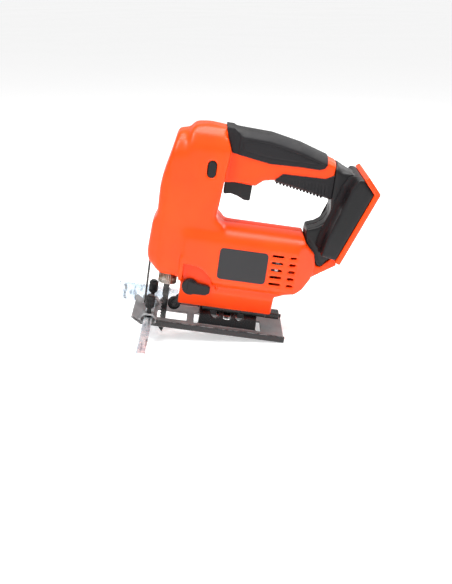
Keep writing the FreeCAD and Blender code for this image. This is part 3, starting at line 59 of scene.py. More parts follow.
class Tree:
    """Adds nodes to a tree and joins them in one call each."""

    def __init__(self, tree):
        self.tree = tree

    def add(self, kind, settings=None, **sockets):
        node = self.tree.nodes.new(kind)
        for name, value in (settings or {}).items():
            setattr(node, name, value)
        for name, value in sockets.items():
            self.feed(node, name.replace("_", " "), value)
        return node

    def feed(self, node, key, value):
        """Sets an input, found by its name or its index, to a value or another node's output."""
        if isinstance(value, bpy.types.NodeSocket):
            self.tree.links.new(value, node.inputs[key])
        else:
            node.inputs[key].default_value = value

    def math(self, operation, first, second=0.0):
        node = self.add("ShaderNodeMath", {"operation": operation})
        self.feed(node, 0, first)
        self.feed(node, 1, second)
        return node.outputs[0]

    def ramp(self, value, low, high, start=0.0, end=1.0):
        node = self.add("ShaderNodeMapRange", Value=value)
        limits = {"From Min": low, "From Max": high, "To Min": start, "To Max": end}
        for name, number in limits.items():
            node.inputs[name].default_value = number
        return node.outputs[0]

    def mix(self, factor, first, second):
        node = self.add("ShaderNodeMix", {"data_type": "RGBA"})
        # Inputs 0, 6 and 7 and output 2 are the ones in use when the node mixes colours.
        for index, value in ((0, factor), (6, first), (7, second)):
            self.feed(node, index, value)
        return node.outputs[2]

    def place(self, stretch=(1, 1, 1)):
        """Places on the piece, which keep to it when it moves."""
        source = self.add("ShaderNodeTexCoord").outputs["Object"]
        return self.add("ShaderNodeMapping", Vector=source, Scale=stretch).outputs[0]

    def use(self, group, **values):
        """Puts a node group into the tree with its own values."""
        node = self.add("ShaderNodeGroup", {"node_tree": group})
        for name, value in values.items():
            node.inputs[name].default_value = value
        return node.outputs


def shader_group(name, inputs, outputs):
    group = bpy.data.node_groups.new(name, "ShaderNodeTree")
    for label, value in inputs.items():
        socket = group.interface.new_socket(label, in_out="INPUT", socket_type="NodeSocketFloat")
        socket.default_value = value
    for label in outputs:
        group.interface.new_socket(label, in_out="OUTPUT", socket_type="NodeSocketFloat")
    tree = Tree(group)
    return group, tree, tree.add("NodeGroupInput").outputs, tree.add("NodeGroupOutput")


# ---------------------------------------------------------------- effects that finishes share

def make_grain():
    """Spark-eroded moulding grain: fine pits, with a slow drift over the piece."""
    group, tree, given, out = shader_group("moulded_grain", {"Scale": 900.0}, ("Height", "Drift"))
    where = tree.place()
    pits = tree.add("ShaderNodeTexVoronoi", Vector=where, Scale=given["Scale"])
    fine = tree.add("ShaderNodeTexNoise", Vector=where, Scale=given["Scale"], Detail=3.0)
    slow = tree.add("ShaderNodeTexNoise", Vector=where, Scale=22.0, Detail=4.0)
    shallow = tree.math("MULTIPLY", pits.outputs["Distance"], 0.6)
    tree.feed(out, "Height", tree.math("ADD", shallow, fine.outputs["Fac"]))
    tree.feed(out, "Drift", slow.outputs["Fac"])
    return group


def make_wear_and_highlight():
    """Where corners rub, and where edges get a painted edge highlight: raised edges, broken up by
    scratches.
    """
    group, tree, given, out = shader_group("edge_wear_and_highlight", {"Amount": 0.5}, ("Mask",))
    edge = tree.ramp(tree.add("ShaderNodeNewGeometry").outputs["Pointiness"], 0.515, 0.56)
    patchy = tree.add("ShaderNodeTexNoise", Vector=tree.place(), Scale=160.0, Detail=5.0)
    worn_lit_edges = tree.math("MULTIPLY", edge, tree.ramp(patchy.outputs["Fac"], 0.42, 0.62))
    tree.feed(out, "Mask", tree.math("MULTIPLY", worn_lit_edges, given["Amount"]))
    return group


def make_brushed():
    """Long fine lines with soft handling smears."""
    group, tree, given, out = shader_group(
        "brushed_lines", {"Along": 1.0, "Across": 1.0, "Fine": 900.0}, ("Lines", "Smears"))
    source = tree.add("ShaderNodeTexCoord").outputs["Object"]
    scale = tree.add("ShaderNodeCombineXYZ", X=given["Along"], Y=given["Across"], Z=given["Across"])
    where = tree.add("ShaderNodeVectorMath", {"operation": "MULTIPLY"})
    tree.feed(where, 0, source)
    tree.feed(where, 1, scale.outputs[0])
    lines = tree.add("ShaderNodeTexNoise", Vector=where.outputs[0], Scale=given["Fine"], Detail=2.0)
    smears = tree.add("ShaderNodeTexNoise", Vector=source, Scale=35.0, Detail=5.0, Roughness=0.62)
    tree.feed(out, "Lines", lines.outputs["Fac"])
    tree.feed(out, "Smears", smears.outputs["Fac"])
    return group


def make_dust():
    """A thin film on faces that look up."""
    group, tree, given, out = shader_group("dust", {"Amount": 0.1}, ("Mask",))
    normal = tree.add("ShaderNodeNewGeometry").outputs["Normal"]
    up = tree.add("ShaderNodeSeparateXYZ", Vector=normal).outputs["Z"]
    cloud = tree.add("ShaderNodeTexNoise", Vector=tree.place(), Scale=70.0, Detail=6.0)
    settled = tree.ramp(cloud.outputs["Fac"], 0.4, 0.75)
    film = tree.math("MULTIPLY", tree.ramp(up, 0.2, 1.0), settled)
    tree.feed(out, "Mask", tree.math("MULTIPLY", film, given["Amount"]))
    return group


GRAIN = make_grain()
WEAR_AND_HIGHLIGHT = make_wear_and_highlight()
BRUSHED = make_brushed()
DUST = make_dust()


# ---------------------------------------------------------------- finishes

def rgb(red, green, blue):
    """Screen colour, 0 to 255, as linear light, by the sRGB curve."""
    def linear(part):
        part = part / 255.0
        return part / 12.92 if part <= 0.04045 else ((part + 0.055) / 1.055) ** 2.4
    return (linear(red), linear(green), linear(blue), 1.0)


SAWDUST = rgb(176, 168, 158)
WORKSHOP_DUST = rgb(150, 140, 128)
BARE_STEEL = rgb(206, 206, 204)

# The shoe's black finish starts where the plate's top or sides turn up.
PLATE_TOP = (2.15 * MM, 2.7 * MM)
HUMP_FRONT = (32.0 * MM, 33.5 * MM)
SHOE_SIDE = (33.0 * MM, 34.0 * MM)


def blank_material(name, **constants):
    material = bpy.data.materials.new(name)
    material.use_nodes = True
    tree = Tree(material.node_tree)
    shader = material.node_tree.nodes["Principled BSDF"]
    for label, value in constants.items():
        shader.inputs[label.replace("_", " ")].default_value = value
    return material, tree, shader


def raise_surface(tree, shader, height, strength, distance):
    lift = tree.add("ShaderNodeBump", Height=height, Strength=strength, Distance=distance)
    tree.feed(shader, "Normal", lift.outputs[0])


def moulded(name, colour, deep, worn_lit_edge_colour, rough, scale, bump, wear=0.4, dust=0.04, shine=0.3):
    """Injection-moulded plastic or rubber."""
    material, tree, shader = blank_material(name, Specular_IOR_Level=shine)
    grain = tree.use(GRAIN, Scale=scale)
    worn_lit_edges = tree.use(WEAR_AND_HIGHLIGHT, Amount=wear)["Mask"]
    film = tree.use(DUST, Amount=dust)["Mask"]
    body = tree.mix(tree.ramp(grain["Drift"], 0.35, 0.65), deep, colour)
    # Raised edges take the lighter edge colour: partly wear, partly a painted edge highlight.
    body = tree.mix(worn_lit_edges, body, worn_lit_edge_colour)
    tree.feed(shader, "Base Color", tree.mix(film, body, SAWDUST))
    tone = tree.math("ADD", tree.ramp(grain["Drift"], 0.3, 0.7, rough - 0.04, rough + 0.05),
                     tree.math("MULTIPLY", worn_lit_edges, -0.12))
    tree.feed(shader, "Roughness", tree.math("ADD", tone, tree.math("MULTIPLY", film, 0.3)))
    raise_surface(tree, shader, grain["Height"], bump, 0.12 * MM)
    return material


def metal(name, colour, deep, rough, along=1.0, across=1.0, fine=900.0, metallic=1.0, wear=0.3,
          bump=0.08, dust=0.03):
    """Rolled, turned or coated metal. Its lines are long where along or across is small."""
    material, tree, shader = blank_material(name, Metallic=metallic)
    brushed = tree.use(BRUSHED, Along=along, Across=across, Fine=fine)
    worn_lit_edges = tree.use(WEAR_AND_HIGHLIGHT, Amount=wear)["Mask"]
    film = tree.use(DUST, Amount=dust)["Mask"]
    body = tree.mix(tree.ramp(brushed["Smears"], 0.36, 0.66), deep, colour)
    body = tree.mix(worn_lit_edges, body, BARE_STEEL)
    tree.feed(shader, "Base Color", tree.mix(film, body, WORKSHOP_DUST))
    tone = tree.math("ADD", tree.ramp(brushed["Lines"], 0.3, 0.7, rough - 0.06, rough + 0.06),
                     tree.ramp(brushed["Smears"], 0.3, 0.7, -0.05, 0.06))
    tree.feed(shader, "Roughness", tone)
    raise_surface(tree, shader, brushed["Lines"], bump, 0.1 * MM)
    return material


def make_shoe_steel():
    """Satin plate with a black finish on the hump and the turned-up sides."""
    material, tree, shader = blank_material("shoe_steel")
    source = tree.add("ShaderNodeTexCoord").outputs["Object"]
    axes = tree.add("ShaderNodeSeparateXYZ", Vector=source).outputs
    hump = tree.math("MULTIPLY", tree.ramp(axes["Z"], *PLATE_TOP), tree.ramp(axes["Y"], *HUMP_FRONT))
    side = tree.ramp(tree.math("ABSOLUTE", axes["X"]), *SHOE_SIDE)
    black = tree.math("MAXIMUM", hump, side)
    brushed = tree.use(BRUSHED, Along=0.12, Across=1.0, Fine=1200.0)
    worn_lit_edges = tree.use(WEAR_AND_HIGHLIGHT, Amount=0.5)["Mask"]
    plate = tree.mix(tree.ramp(brushed["Smears"], 0.35, 0.65),
                     rgb(134, 133, 134), rgb(156, 156, 157))
    body = tree.mix(black, plate, rgb(22, 21, 23))
    tree.feed(shader, "Base Color", tree.mix(worn_lit_edges, body, rgb(188, 188, 188)))
    tree.feed(shader, "Metallic", tree.ramp(black, 0.0, 1.0, 0.55, 0.1))
    tone = tree.math("ADD", tree.ramp(brushed["Lines"], 0.3, 0.7, -0.06, 0.06),
                     tree.ramp(black, 0.0, 1.0, 0.42, 0.24))
    tree.feed(shader, "Roughness", tone)
    raise_surface(tree, shader, brushed["Lines"], 0.1, 0.1 * MM)
    return material


def make_zinc():
    """Hot-dipped sheet: spangle cells over a cool bright ground, with dark streaks that are painted
    dark reflection and shade.
    """
    material, tree, shader = blank_material("zinc_steel", Metallic=0.65)
    where = tree.place()
    cells = tree.add("ShaderNodeTexVoronoi", Vector=where, Scale=210.0).outputs["Color"]
    cell = tree.add("ShaderNodeSeparateColor", Color=cells).outputs[0]
    brushed = tree.use(BRUSHED, Along=0.3, Across=1.0, Fine=600.0)
    # Dark streaks laid along the sheet: painted dark reflection and shade, mixed into the base
    # colour.
    shade_streaks = tree.add("ShaderNodeTexNoise", Vector=tree.place((0.25, 2.6, 1.0)), Scale=95.0,
                       Detail=4.0, Roughness=0.6).outputs["Fac"]
    ground = tree.mix(tree.ramp(brushed["Smears"], 0.38, 0.62),
                      rgb(186, 208, 226), rgb(236, 243, 248))
    shade_streaked = tree.mix(tree.ramp(shade_streaks, 0.53, 0.66), ground, rgb(66, 78, 92))
    spangled = tree.mix(tree.math("MULTIPLY", cell, 0.18), shade_streaked, rgb(214, 208, 188))
    tree.feed(shader, "Base Color", spangled)
    tone = tree.math("ADD", tree.ramp(cell, 0.0, 1.0, 0.18, 0.34),
                     tree.ramp(brushed["Lines"], 0.3, 0.7, -0.03, 0.05))
    tree.feed(shader, "Roughness", tone)
    raise_surface(tree, shader, cell, 0.04, 0.2 * MM)
    return material


FINISH = {
    # The orange shell's lighter orange edge colour is a painted edge highlight.
    "orange_shell": moulded("orange_shell", rgb(255, 72, 2), rgb(250, 64, 0), rgb(255, 112, 40),
                            rough=0.34, scale=1300.0, bump=0.14, wear=0.25, dust=0.0, shine=0.32),
    "soft_grip": moulded("soft_grip", rgb(24, 23, 26), rgb(17, 16, 19), rgb(46, 45, 49),
                         rough=0.58, scale=1500.0, bump=0.55, wear=0.35),
    "foot_black": moulded("foot_black", rgb(22, 21, 24), rgb(15, 15, 17), rgb(50, 49, 52),
                          rough=0.40, scale=1700.0, bump=0.30),
    "black_plastic": moulded("black_plastic", rgb(20, 19, 21), rgb(14, 13, 15), rgb(54, 53, 54),
                             rough=0.33, scale=1700.0, bump=0.22),
    "plate_face": moulded("plate_face", rgb(42, 42, 44), rgb(37, 37, 39), rgb(70, 70, 72),
                          rough=0.30, scale=2200.0, bump=0.10, wear=0.2, dust=0.03),
    "lead_jacket": moulded("lead_jacket", rgb(150, 26, 20), rgb(124, 20, 16), rgb(176, 70, 60),
                           rough=0.44, scale=900.0, bump=0.2),
    "shoe_steel": make_shoe_steel(),
    "zinc_steel": make_zinc(),
    "bright_steel": metal("bright_steel", rgb(205, 205, 203), rgb(176, 176, 176),
                          rough=0.26, across=0.1),
    "black_steel": metal("black_steel", rgb(20, 19, 20), rgb(12, 12, 13),
                         rough=0.3, metallic=0.15, wear=0.1),
    "collar_steel": metal("collar_steel", rgb(168, 146, 124), rgb(120, 101, 84),
                          rough=0.34, wear=0.5),
    "motor_steel": metal("motor_steel", rgb(74, 74, 77), rgb(54, 54, 57),
                         rough=0.42, along=0.1),
    "cast_alloy": metal("cast_alloy", rgb(168, 168, 166), rgb(138, 138, 136),
                        rough=0.55, fine=700.0, bump=0.5),
    "bronze": metal("bronze", rgb(176, 126, 70), rgb(140, 96, 52), rough=0.42, across=0.2),
    "copper": metal("copper", rgb(206, 118, 78), rgb(160, 84, 52), rough=0.34, along=0.2),
    "ferrite": metal("ferrite", rgb(58, 57, 58), rgb(42, 41, 42),
                     rough=0.7, metallic=0.2, fine=1400.0, bump=0.6),
}


# ---------------------------------------------------------------- mesh helpers

MERGE_DISTANCE = 0.004 * MM
# Points this near the middle plane lie on the face where two halves meet.
SPLIT = 0.35 * MM
RELAX_STEP = 0.5
GROOVE_ROUNDNESS = 0.7


def link_piece(name, mesh, body, slot, nodes=()):
    piece = bpy.data.objects.new(name, mesh)
    bpy.context.collection.objects.link(piece)
    if not mesh.materials:
        mesh.materials.append(FINISH[slot])
    if nodes:
        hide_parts(*nodes)
    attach(piece, body)
    return piece


def solid_mesh(node):
    """A merged copy of a CAD node's mesh."""
    mesh = bpy.data.meshes.new_from_object(frame["nodes"][node])
    mesh.transform(frame["nodes"][node].matrix_world)
    mesh.materials.clear()
    form = bmesh.new()
    form.from_mesh(mesh)
    bmesh.ops.remove_doubles(form, verts=form.verts, dist=MERGE_DISTANCE)
    form.to_mesh(mesh)
    form.free()
    return mesh


def evaluated(holder):
    """The result of a temporary object's modifiers, as a plain mesh. The object is removed."""
    graph = bpy.context.evaluated_depsgraph_get()
    result = bpy.data.meshes.new_from_object(holder.evaluated_get(graph))
    bpy.data.objects.remove(holder)
    return result


def remeshed(mesh, voxel):
    holder = bpy.data.objects.new("holder", mesh)
    bpy.context.collection.objects.link(holder)
    change = holder.modifiers.new("voxels", "REMESH")
    change.mode = "VOXEL"
    change.voxel_size = voxel * MM
    return evaluated(holder)


def shade_smooth(mesh):
    mesh.polygons.foreach_set("use_smooth", np.ones(len(mesh.polygons), dtype=bool))


def read_points(mesh):
    flat = np.empty(len(mesh.vertices) * 3)
    mesh.vertices.foreach_get("co", flat)
    return flat.reshape(-1, 3)


def write_points(mesh, points):
    mesh.vertices.foreach_set("co", points.ravel())
    mesh.update()


def relax(mesh, points, passes, weight):
    """Rounds the surface where weight is 1, and holds it where weight is 0."""
    pairs = np.empty(len(mesh.edges) * 2, dtype=np.int64)
    mesh.edges.foreach_get("vertices", pairs)
    first, second = pairs.reshape(-1, 2).T
    count = np.bincount(pairs, minlength=len(points)).astype(float)
    share = RELAX_STEP * weight[:, None]
    for _ in range(passes):
        total = np.stack([np.bincount(first, points[second, axis], len(points))
                          + np.bincount(second, points[first, axis], len(points))
                          for axis in range(3)], axis=1)
        points = points + share * (total / count[:, None] - points)
    return points


def distance_to_line(points, line):
    """Distance in the side view, in millimetres, from each point to a polyline of (Y, Z)."""
    spots = points[:, 1:] / MM
    best = np.full(len(points), np.inf)
    for start, end in zip(line[:-1], line[1:]):
        start = np.array(start)
        run = np.array(end) - start
        along = np.clip(((spots - start) @ run) / (run @ run), 0.0, 1.0)
        best = np.minimum(best, np.linalg.norm(spots - start - along[:, None] * run, axis=1))
    return best


def share_past(value, start, length):
    """0 up to start, rising to 1 at start + length."""
    return np.clip((value - start) / length, 0.0, 1.0)


def share_before(value, end, length):
    """1 up to end - length, falling to 0 at end."""
    return np.clip((end - value) / length, 0.0, 1.0)


def between(values, low, high):
    return (values > low) & (values < high)


def press_line(points, line, width, depth, from_x):
    """Presses a rounded groove into both flanks along a line in the side view."""
    near = distance_to_line(points, line)
    dip = np.clip(1.0 - near / width, 0.0, 1.0) ** GROOVE_ROUNDNESS * depth * MM
    flank = np.abs(points[:, 0]) > from_x * MM
    points[flank, 0] -= np.sign(points[flank, 0]) * dip[flank]
    return points


def soften(node, slot, voxel, passes, shape=None, seam=False, broad=None):
    """Replaces a CAD node with its rounded, moulded form.

    voxel is the remesh size in millimetres, and passes is how often the surface is relaxed.
    shape moves the points, seam holds the flat face where two halves meet, and broad is
    (passes, zone) for a stronger rounding first, where zone(points) is above 0.
    """
    mesh = remeshed(solid_mesh(node), voxel)
    points = read_points(mesh)
    weight = np.ones(len(points))
    if seam:
        weight[np.abs(points[:, 0]) < SPLIT] = 0.0
    if broad is not None:
        broad_passes, zone = broad
        points = relax(mesh, points, broad_passes, weight * zone(points))
    if shape is not None:
        points = shape(points)
    points = relax(mesh, points, passes, weight)
    write_points(mesh, points)
    shade_smooth(mesh)
    return link_piece(node + "_shape", mesh, BODY_OF[node], slot, [node])


# ---------------------------------------------------------------- housing, grips and foot
# All of these are in millimetres. Outlines are in the side view, as (Y, Z).

LOCK_OFF_CENTRE = (27.5, 151.6)
LOCK_OFF_CLEAR = 12.0

HANDLE_CREST = ((34.0, 190.0), (78.0, 188.3), (105.0, 183.0), (124.0, 177.0), (139.0, 172.0),
                (148.5, 167.0), (156.0, 164.0))
HANDLE_BELLY = ((45.0, 138.5), (69.0, 137.0), (75.5, 143.0), (86.0, 144.8), (106.0, 141.5),
                (126.0, 138.0), (139.0, 135.0), (152.0, 133.0))
HANDLE_START, HANDLE_FADE_IN = 43.0, 8.0
HANDLE_END, HANDLE_FADE_OUT = 155.0, 10.0
BELLY_REACH = 4.0
HANDLE_FLAT, HANDLE_CURVE = 5.0, 12.0
HANDLE_POWER = 1.5
CREST_DROP, BELLY_LIFT = 6.5, 3.0

FOOT_FRONT = ((136.0, 88.0), (139.0, 106.0), (149.0, 137.0), (152.5, 152.0), (158.0, 162.5))
FOOT_FRONT_SKIN = 1.4
FOOT_SWEEP = 7.0
SWEEP_INNER, SWEEP_OUTER, SWEEP_FADE = 16.6, 26.0, 9.0
SWEEP_LOWEST = 92.0
FOOT_SEAM = [(124.0, 97.0), (134.5, 85.5), (138.5, 76.5), (149.0, 80.0)]

TOP_GRIP_PANEL = [(52.0, 184.0), (52.5, 172.0), (80.0, 167.0), (104.0, 167.5), (122.0, 169.5),
                  (126.0, 172.0), (104.0, 178.0), (76.0, 183.5), (52.0, 185.5)]
TOP_GRIP_GROOVE = [(48.5, 166.0), (48.2, 191.0)]
FLANK = 14.0

GRIP_RIB_PITCH = 3.1
FLANK_GROOVES = 15
FLANK_GROOVE_START, FLANK_GROOVE_LEAN = 90.0, 1.0
FLANK_GROOVE_LOW, FLANK_GROOVE_HIGH = 130.0, 148.5
UNDER_GRIP_FLANK = 14.5


def housing_zone(points):
    """How freely the outer faces may round: less near slots, edges and joints."""
    x, y, z = (points / MM).T
    button_y, button_z = LOCK_OFF_CENTRE
    side_vents = between(y, 88, 120) & between(z, 49, 86)
    lock_off = np.hypot(y - button_y, z - button_z) < LOCK_OFF_CLEAR
    selector_recess = between(y, 9, 49) & between(z, 26, 68)
    skirt = (z < 46) & (y < 106)
    handle = (y > 41) & (z > 104)
    front_louvres = (y < 2) & (np.abs(x) < 12) & between(z, 106, 152)
    foot_joint = y > 117
    grip_edge = between(y, 38, 48) & (z > 108)

    zone = np.ones(len(points))
    zone[side_vents | lock_off | selector_recess] = 0.0
    zone[skirt] = 0.10
    zone[handle] = 0.04
    zone[front_louvres] = 0.0
    zone[foot_joint] = 0.06
    zone[grip_edge] = 0.0
    return zone


def everywhere(points):
    return np.ones(len(points))


def barrel(points):
    """Turns the handle's square section into an oval one, the same for shell, skins and neck."""
    x, y, z = (points / MM).T
    top = np.interp(y, *zip(*HANDLE_CREST))
    low = np.interp(y, *zip(*HANDLE_BELLY))
    middle = (top + low) / 2
    fade = share_past(y, HANDLE_START, HANDLE_FADE_IN)
    fade = fade * share_before(y, HANDLE_END, HANDLE_FADE_OUT)
    fade = fade * (z > low - BELLY_REACH)
    across = share_past(np.abs(x), HANDLE_FLAT, HANDLE_CURVE) ** 2
    upper = np.clip((z - middle) / (top - middle), 0.0, 1.0) ** HANDLE_POWER
    lower = np.clip((middle - z) / (middle - low), 0.0, 1.0) ** HANDLE_POWER
    shifted = points.copy()
    shifted[:, 2] += (across * fade * (BELLY_LIFT * lower - CREST_DROP * upper)) * MM
    return shifted


def flare(points):
    """Sweeps the foot's front face forward beside the neck, fading out towards its sides."""
    x, y, z = (points / MM).T
    places, heights = zip(*FOOT_FRONT)
    skin = np.abs(y - np.interp(z, heights, places)) < FOOT_FRONT_SKIN
    face = skin & (np.abs(x) > SWEEP_INNER) & (z > SWEEP_LOWEST)
    reach = share_before(np.abs(x), SWEEP_OUTER, SWEEP_FADE)
    shifted = points.copy()
    shifted[face, 1] -= (FOOT_SWEEP * reach[face] ** 2) * MM
    return shifted


def shape_top_grip(points):
    """A panel line round the flank, and a groove over the grip behind its front edge."""
    points = press_line(points, TOP_GRIP_PANEL, width=1.2, depth=0.8, from_x=FLANK)
    points = press_line(points, TOP_GRIP_GROOVE, width=1.3, depth=1.0, from_x=0.0)
    return barrel(points)


def shape_under_grip(points):
    """Fine upright grooves on both flanks."""
    for step in range(FLANK_GROOVES):
        y = FLANK_GROOVE_START + GRIP_RIB_PITCH * step
        groove = [(y, FLANK_GROOVE_LOW), (y - FLANK_GROOVE_LEAN, FLANK_GROOVE_HIGH)]
        points = press_line(points, groove, width=0.9, depth=0.5, from_x=UNDER_GRIP_FLANK)
    return barrel(points)


def shape_foot(points):
    points = press_line(points, FOOT_SEAM, width=1.2, depth=0.9, from_x=FLANK)
    return barrel(flare(points))


def make_shell():
    for side in SIDES:
        soften("housing_" + side, "orange_shell", voxel=0.85, passes=2, shape=barrel,
               seam=True, broad=(60, housing_zone))
        soften("top_grip_" + side, "soft_grip", voxel=0.6, passes=3, shape=shape_top_grip,
               seam=True)
        soften("under_grip_" + side, "soft_grip", voxel=0.5, passes=3, shape=shape_under_grip,
               seam=True)
        soften("foot_cover_" + side, "foot_black", voxel=0.8, passes=6, shape=shape_foot,
               seam=True, broad=(14, everywhere))


# ---------------------------------------------------------------- smaller pieces

# Node: (finish, voxel in millimetres, passes)
SMALL_PIECES = {
    "battery_rim": ("orange_shell", 0.7, 4),
    "battery_rails": ("black_plastic", 0.5, 2),
    "rating_plate": ("plate_face", 0.3, 2),
    "lock_off_button": ("black_plastic", 0.4, 6),
    "trigger": ("black_plastic", 0.4, 10),
    "selector_knob": ("black_plastic", 0.35, 6),
    "bevel_bracket": ("black_steel", 0.6, 2),
    "shoe": ("shoe_steel", 0.6, 3),
    "rip_fence": ("zinc_steel", 0.5, 2),
    "roller_fork": ("black_steel", 0.35, 3),
    "guide_roller": ("black_plastic", 0.3, 3),
}


def make_small_pieces():
    for node, (slot, voxel, passes) in SMALL_PIECES.items():
        soften(node, slot, voxel, passes)


def dress_nodes():
    """Gives every carried-over CAD node its slot's finish."""
    for holder in frame["nodes"].values():
        for place in holder.material_slots:
            slot = place.material.name.split(".")[0]
            place.material = FINISH[slot]


# ---------------------------------------------------------------- ribs and teeth

RIB_SIDES = 8
BAR_SIDES = 10
# The lower grip's underside along the middle plane, in millimetres.
GRIP_EDGE = [(0, 88.0, 144.9), (0, 106.0, 141.9), (0, 124.0, 138.6), (0, 130.0, 137.4)]


def finish_tree(tree, geometry, slot):
    """Ends a Geometry Nodes tree with real copies in one material."""
    real = tree.add("GeometryNodeRealizeInstances", Geometry=geometry)
    paint = tree.add("GeometryNodeSetMaterial", Geometry=real.outputs[0], Material=FINISH[slot])
    tree.add("NodeGroupOutput", Geometry=paint.outputs[0])


def rib_tree(name, slot):
    """Upright ribs set in a ring, standing on a turned surface."""
    group = bpy.data.node_groups.new(name, "GeometryNodeTree")
    face = group.interface
    face.new_socket("Count", in_out="INPUT", socket_type="NodeSocketInt")
    for label in ("Radius", "Rib radius", "Height"):
        face.new_socket(label, in_out="INPUT", socket_type="NodeSocketFloat")
    face.new_socket("Centre", in_out="INPUT", socket_type="NodeSocketVector")
    face.new_socket("Geometry", in_out="OUTPUT", socket_type="NodeSocketGeometry")
    tree = Tree(group)
    given = tree.add("NodeGroupInput").outputs
    ring = tree.add("GeometryNodeMeshCircle", Vertices=given["Count"], Radius=given["Radius"])
    rib = tree.add("GeometryNodeMeshCylinder", Vertices=RIB_SIDES, Radius=given["Rib radius"],
                   Depth=given["Height"])
    spots = tree.add("GeometryNodeInstanceOnPoints", Points=ring.outputs[0], Instance=rib.outputs[0])
    moved = tree.add("GeometryNodeTransform", Geometry=spots.outputs[0], Translation=given["Centre"])
    finish_tree(tree, moved.outputs[0], slot)
    return group


def row_tree(name, slot):
    """Short round bars laid across a path, evenly spaced along it."""
    group = bpy.data.node_groups.new(name, "GeometryNodeTree")
    face = group.interface
    face.new_socket("Geometry", in_out="INPUT", socket_type="NodeSocketGeometry")
    for label in ("Spacing", "Bar radius", "Bar length"):
        face.new_socket(label, in_out="INPUT", socket_type="NodeSocketFloat")
    face.new_socket("Geometry", in_out="OUTPUT", socket_type="NodeSocketGeometry")
    tree = Tree(group)
    given = tree.add("NodeGroupInput").outputs
    path = tree.add("GeometryNodeMeshToCurve", Mesh=given["Geometry"])
    spots = tree.add("GeometryNodeCurveToPoints", {"mode": "LENGTH"}, Curve=path.outputs[0],
                     Length=given["Spacing"])
    bar = tree.add("GeometryNodeMeshCylinder", Vertices=BAR_SIDES, Radius=given["Bar radius"],
                   Depth=given["Bar length"])
    laid = tree.add("GeometryNodeTransform", Geometry=bar.outputs[0],
                    Rotation=(0.0, math.pi / 2, 0.0))
    copies = tree.add("GeometryNodeInstanceOnPoints", Points=spots.outputs[0],
                      Instance=laid.outputs[0])
    finish_tree(tree, copies.outputs[0], slot)
    return group


def grown(name, group, body, slot, sizes, source=None):
    """Runs a Geometry Nodes tree and keeps its result as a plain piece."""
    mesh = source or bpy.data.meshes.new(name + "_seed")
    holder = bpy.data.objects.new(name + "_seed", mesh)
    bpy.context.collection.objects.link(holder)
    modifier = holder.modifiers.new("nodes", "NODES")
    modifier.node_group = group
    keys = {item.name: item.identifier for item in group.interface.items_tree
            if item.in_out == "INPUT"}
    for label, value in sizes.items():
        modifier[keys[label]] = value
    result = evaluated(holder)
    shade_smooth(result)
    return link_piece(name, result, body, slot)


def path_mesh(name, corners):
    mesh = bpy.data.meshes.new(name)
    mesh.from_pydata([tuple(value * MM for value in spot) for spot in corners],
                     [(index, index + 1) for index in range(len(corners) - 1)], [])
    return mesh


def make_collar_ribs():
    """Knurling round the clamp collar, and blunt teeth on its upper edge."""
    tree = rib_tree("knurl", "collar_steel")
    body = BODY_OF["clamp_collar"]
    low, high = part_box("clamp_collar")
    middle = (low[2] + high[2]) / 2
    radius = (high[0] - low[0]) / 2
    grown("collar_knurl", tree, body, "collar_steel",
          {"Count": 30, "Radius": radius - 0.1 * MM, "Rib radius": 0.5 * MM,
           "Height": high[2] - low[2] - 2.4 * MM, "Centre": (0.0, 0.0, middle - 0.8 * MM)})
    grown("collar_teeth", tree, body, "collar_steel",
          {"Count": 14, "Radius": radius - 1.1 * MM, "Rib radius": 0.9 * MM,
           "Height": 2.2 * MM, "Centre": (0.0, 0.0, high[2] - 0.4 * MM)})


def make_screw_ribs():
    """Finger ribs round the head of each thumb screw."""
    tree = rib_tree("screw_ribs", "black_plastic")
    for side in SIDES:
        screw = "fence_screw_" + side
        low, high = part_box(screw)
        radius = (high[0] - low[0]) / 2
        centre = ((low[0] + high[0]) / 2, (low[1] + high[1]) / 2, high[2] - 6.4 * MM)
        grown("fence_screw_ribs_" + side, tree, BODY_OF[screw], "black_plastic",
              {"Count": 16, "Radius": radius - 0.15 * MM, "Rib radius": 0.55 * MM,
               "Height": 10.0 * MM, "Centre": centre})


def make_grip_ribs():
    """Ribs across the underside of the lower grip, at the pitch of its flank grooves."""
    grown("under_grip_ribs", row_tree("grip_rows", "soft_grip"), BODY_OF["under_grip_left"],
          "soft_grip",
          {"Spacing": GRIP_RIB_PITCH * MM, "Bar radius": 1.0 * MM, "Bar length": 24.0 * MM},
          path_mesh("grip_edge", GRIP_EDGE))


# ---------------------------------------------------------------- camera, light and floor

# The saw stands on its blade's tip and its shoe's heel, so the floor slopes in its frame.
FLOOR_TILT = 0.139
FLOOR_UP = 0.990
FLOOR_DEPTH = -0.01614
FLOOR_REACH = 30.0
FLOOR_GLOW = 0.42

CAMERA_BACK = (0.9563, -0.0412, 0.2895)
CAMERA_TARGET = (0, 0.057, 0.0315)
CAMERA_LENS = 64.54
CAMERA_CLIP_END = 100

SKY_ON_THE_SAW = 0.50
SKY_AS_SEEN = 1.05
LAMP_TARGET = (0, 0.05, 0.1)


def place_camera():
    back = Vector(CAMERA_BACK).normalized()
    right = Vector((0, -FLOOR_TILT, FLOOR_UP)).cross(back).normalized()
    up = back.cross(right)
    camera = bpy.data.objects.new("camera", bpy.data.cameras.new("camera"))
    bpy.context.collection.objects.link(camera)
    camera.data.lens = CAMERA_LENS
    camera.data.clip_end = CAMERA_CLIP_END
    pose = Matrix((right, up, back)).transposed().to_4x4()
    pose.translation = Vector(CAMERA_TARGET) + back
    camera.matrix_world = pose
    bpy.context.scene.camera = camera


def softbox(name, place, size, power):
    """A rectangular lamp that faces the saw."""
    lamp = bpy.data.lights.new(name, "AREA")
    lamp.shape = "RECTANGLE"
    lamp.size, lamp.size_y = size
    lamp.energy = power
    holder = bpy.data.objects.new(name, lamp)
    bpy.context.collection.objects.link(holder)
    holder.location = place
    facing = Vector(LAMP_TARGET) - Vector(place)
    holder.rotation_euler = facing.to_track_quat("-Z", "Y").to_euler()


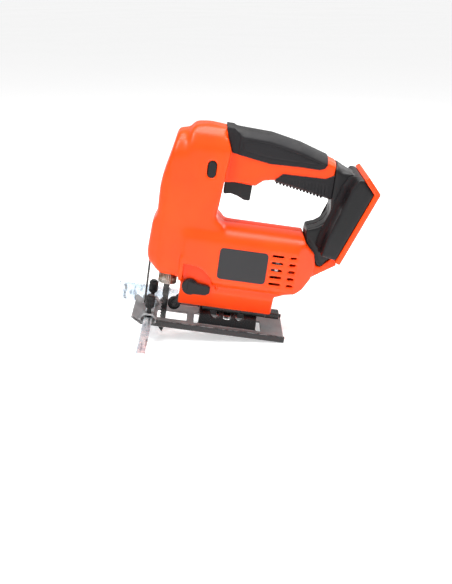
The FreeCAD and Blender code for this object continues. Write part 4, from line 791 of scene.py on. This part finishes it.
def light_studio():
    """A white room, brighter to the eye than it lights the saw, and three softboxes."""
    world = bpy.data.worlds.new("studio")
    bpy.context.scene.world = world
    world.use_nodes = True
    tree = Tree(world.node_tree)
    seen = tree.add("ShaderNodeLightPath").outputs["Is Camera Ray"]
    sky = world.node_tree.nodes["Background"]
    sky.inputs["Color"].default_value = (1, 1, 1, 1)
    tree.feed(sky, "Strength", tree.ramp(seen, 0.0, 1.0, SKY_ON_THE_SAW, SKY_AS_SEEN))
    softbox("key_softbox", place=(0.85, -0.65, 1.15), size=(0.5, 0.5), power=13)
    softbox("top_softbox", place=(0.05, 0.10, 1.1), size=(1.0, 0.6), power=15)
    softbox("rear_softbox", place=(-0.9, 0.9, 0.9), size=(0.8, 0.8), power=8)
    bpy.context.scene.view_settings.view_transform = "Standard"


def make_floor_paint():
    """White studio floor with a faint cloudiness."""
    material, tree, shader = blank_material("floor_paint", Specular_IOR_Level=0.3,
                                            Emission_Color=(1, 1, 1, 1),
                                            Emission_Strength=FLOOR_GLOW)
    cloud = tree.add("ShaderNodeTexNoise", Vector=tree.place(), Scale=1.7, Detail=2.0).outputs["Fac"]
    tree.feed(shader, "Base Color", tree.mix(cloud, rgb(250, 250, 250), rgb(254, 254, 254)))
    tree.feed(shader, "Roughness", tree.ramp(cloud, 0.0, 1.0, 0.22, 0.28))
    return material


def make_floor():
    front, back = [(FLOOR_DEPTH + FLOOR_TILT * y) / FLOOR_UP for y in (-FLOOR_REACH, FLOOR_REACH)]
    mesh = bpy.data.meshes.new("floor")
    mesh.from_pydata([(-FLOOR_REACH, -FLOOR_REACH, front), (FLOOR_REACH, -FLOOR_REACH, front),
                      (FLOOR_REACH, FLOOR_REACH, back), (-FLOOR_REACH, FLOOR_REACH, back)],
                     [], [(0, 1, 2, 3)])
    mesh.materials.append(make_floor_paint())
    floor = bpy.data.objects.new("floor", mesh)
    bpy.context.collection.objects.link(floor)


place_camera()
light_studio()
dress_nodes()
make_shell()
make_small_pieces()
make_collar_ribs()
make_screw_ribs()
make_grip_ribs()
make_floor()
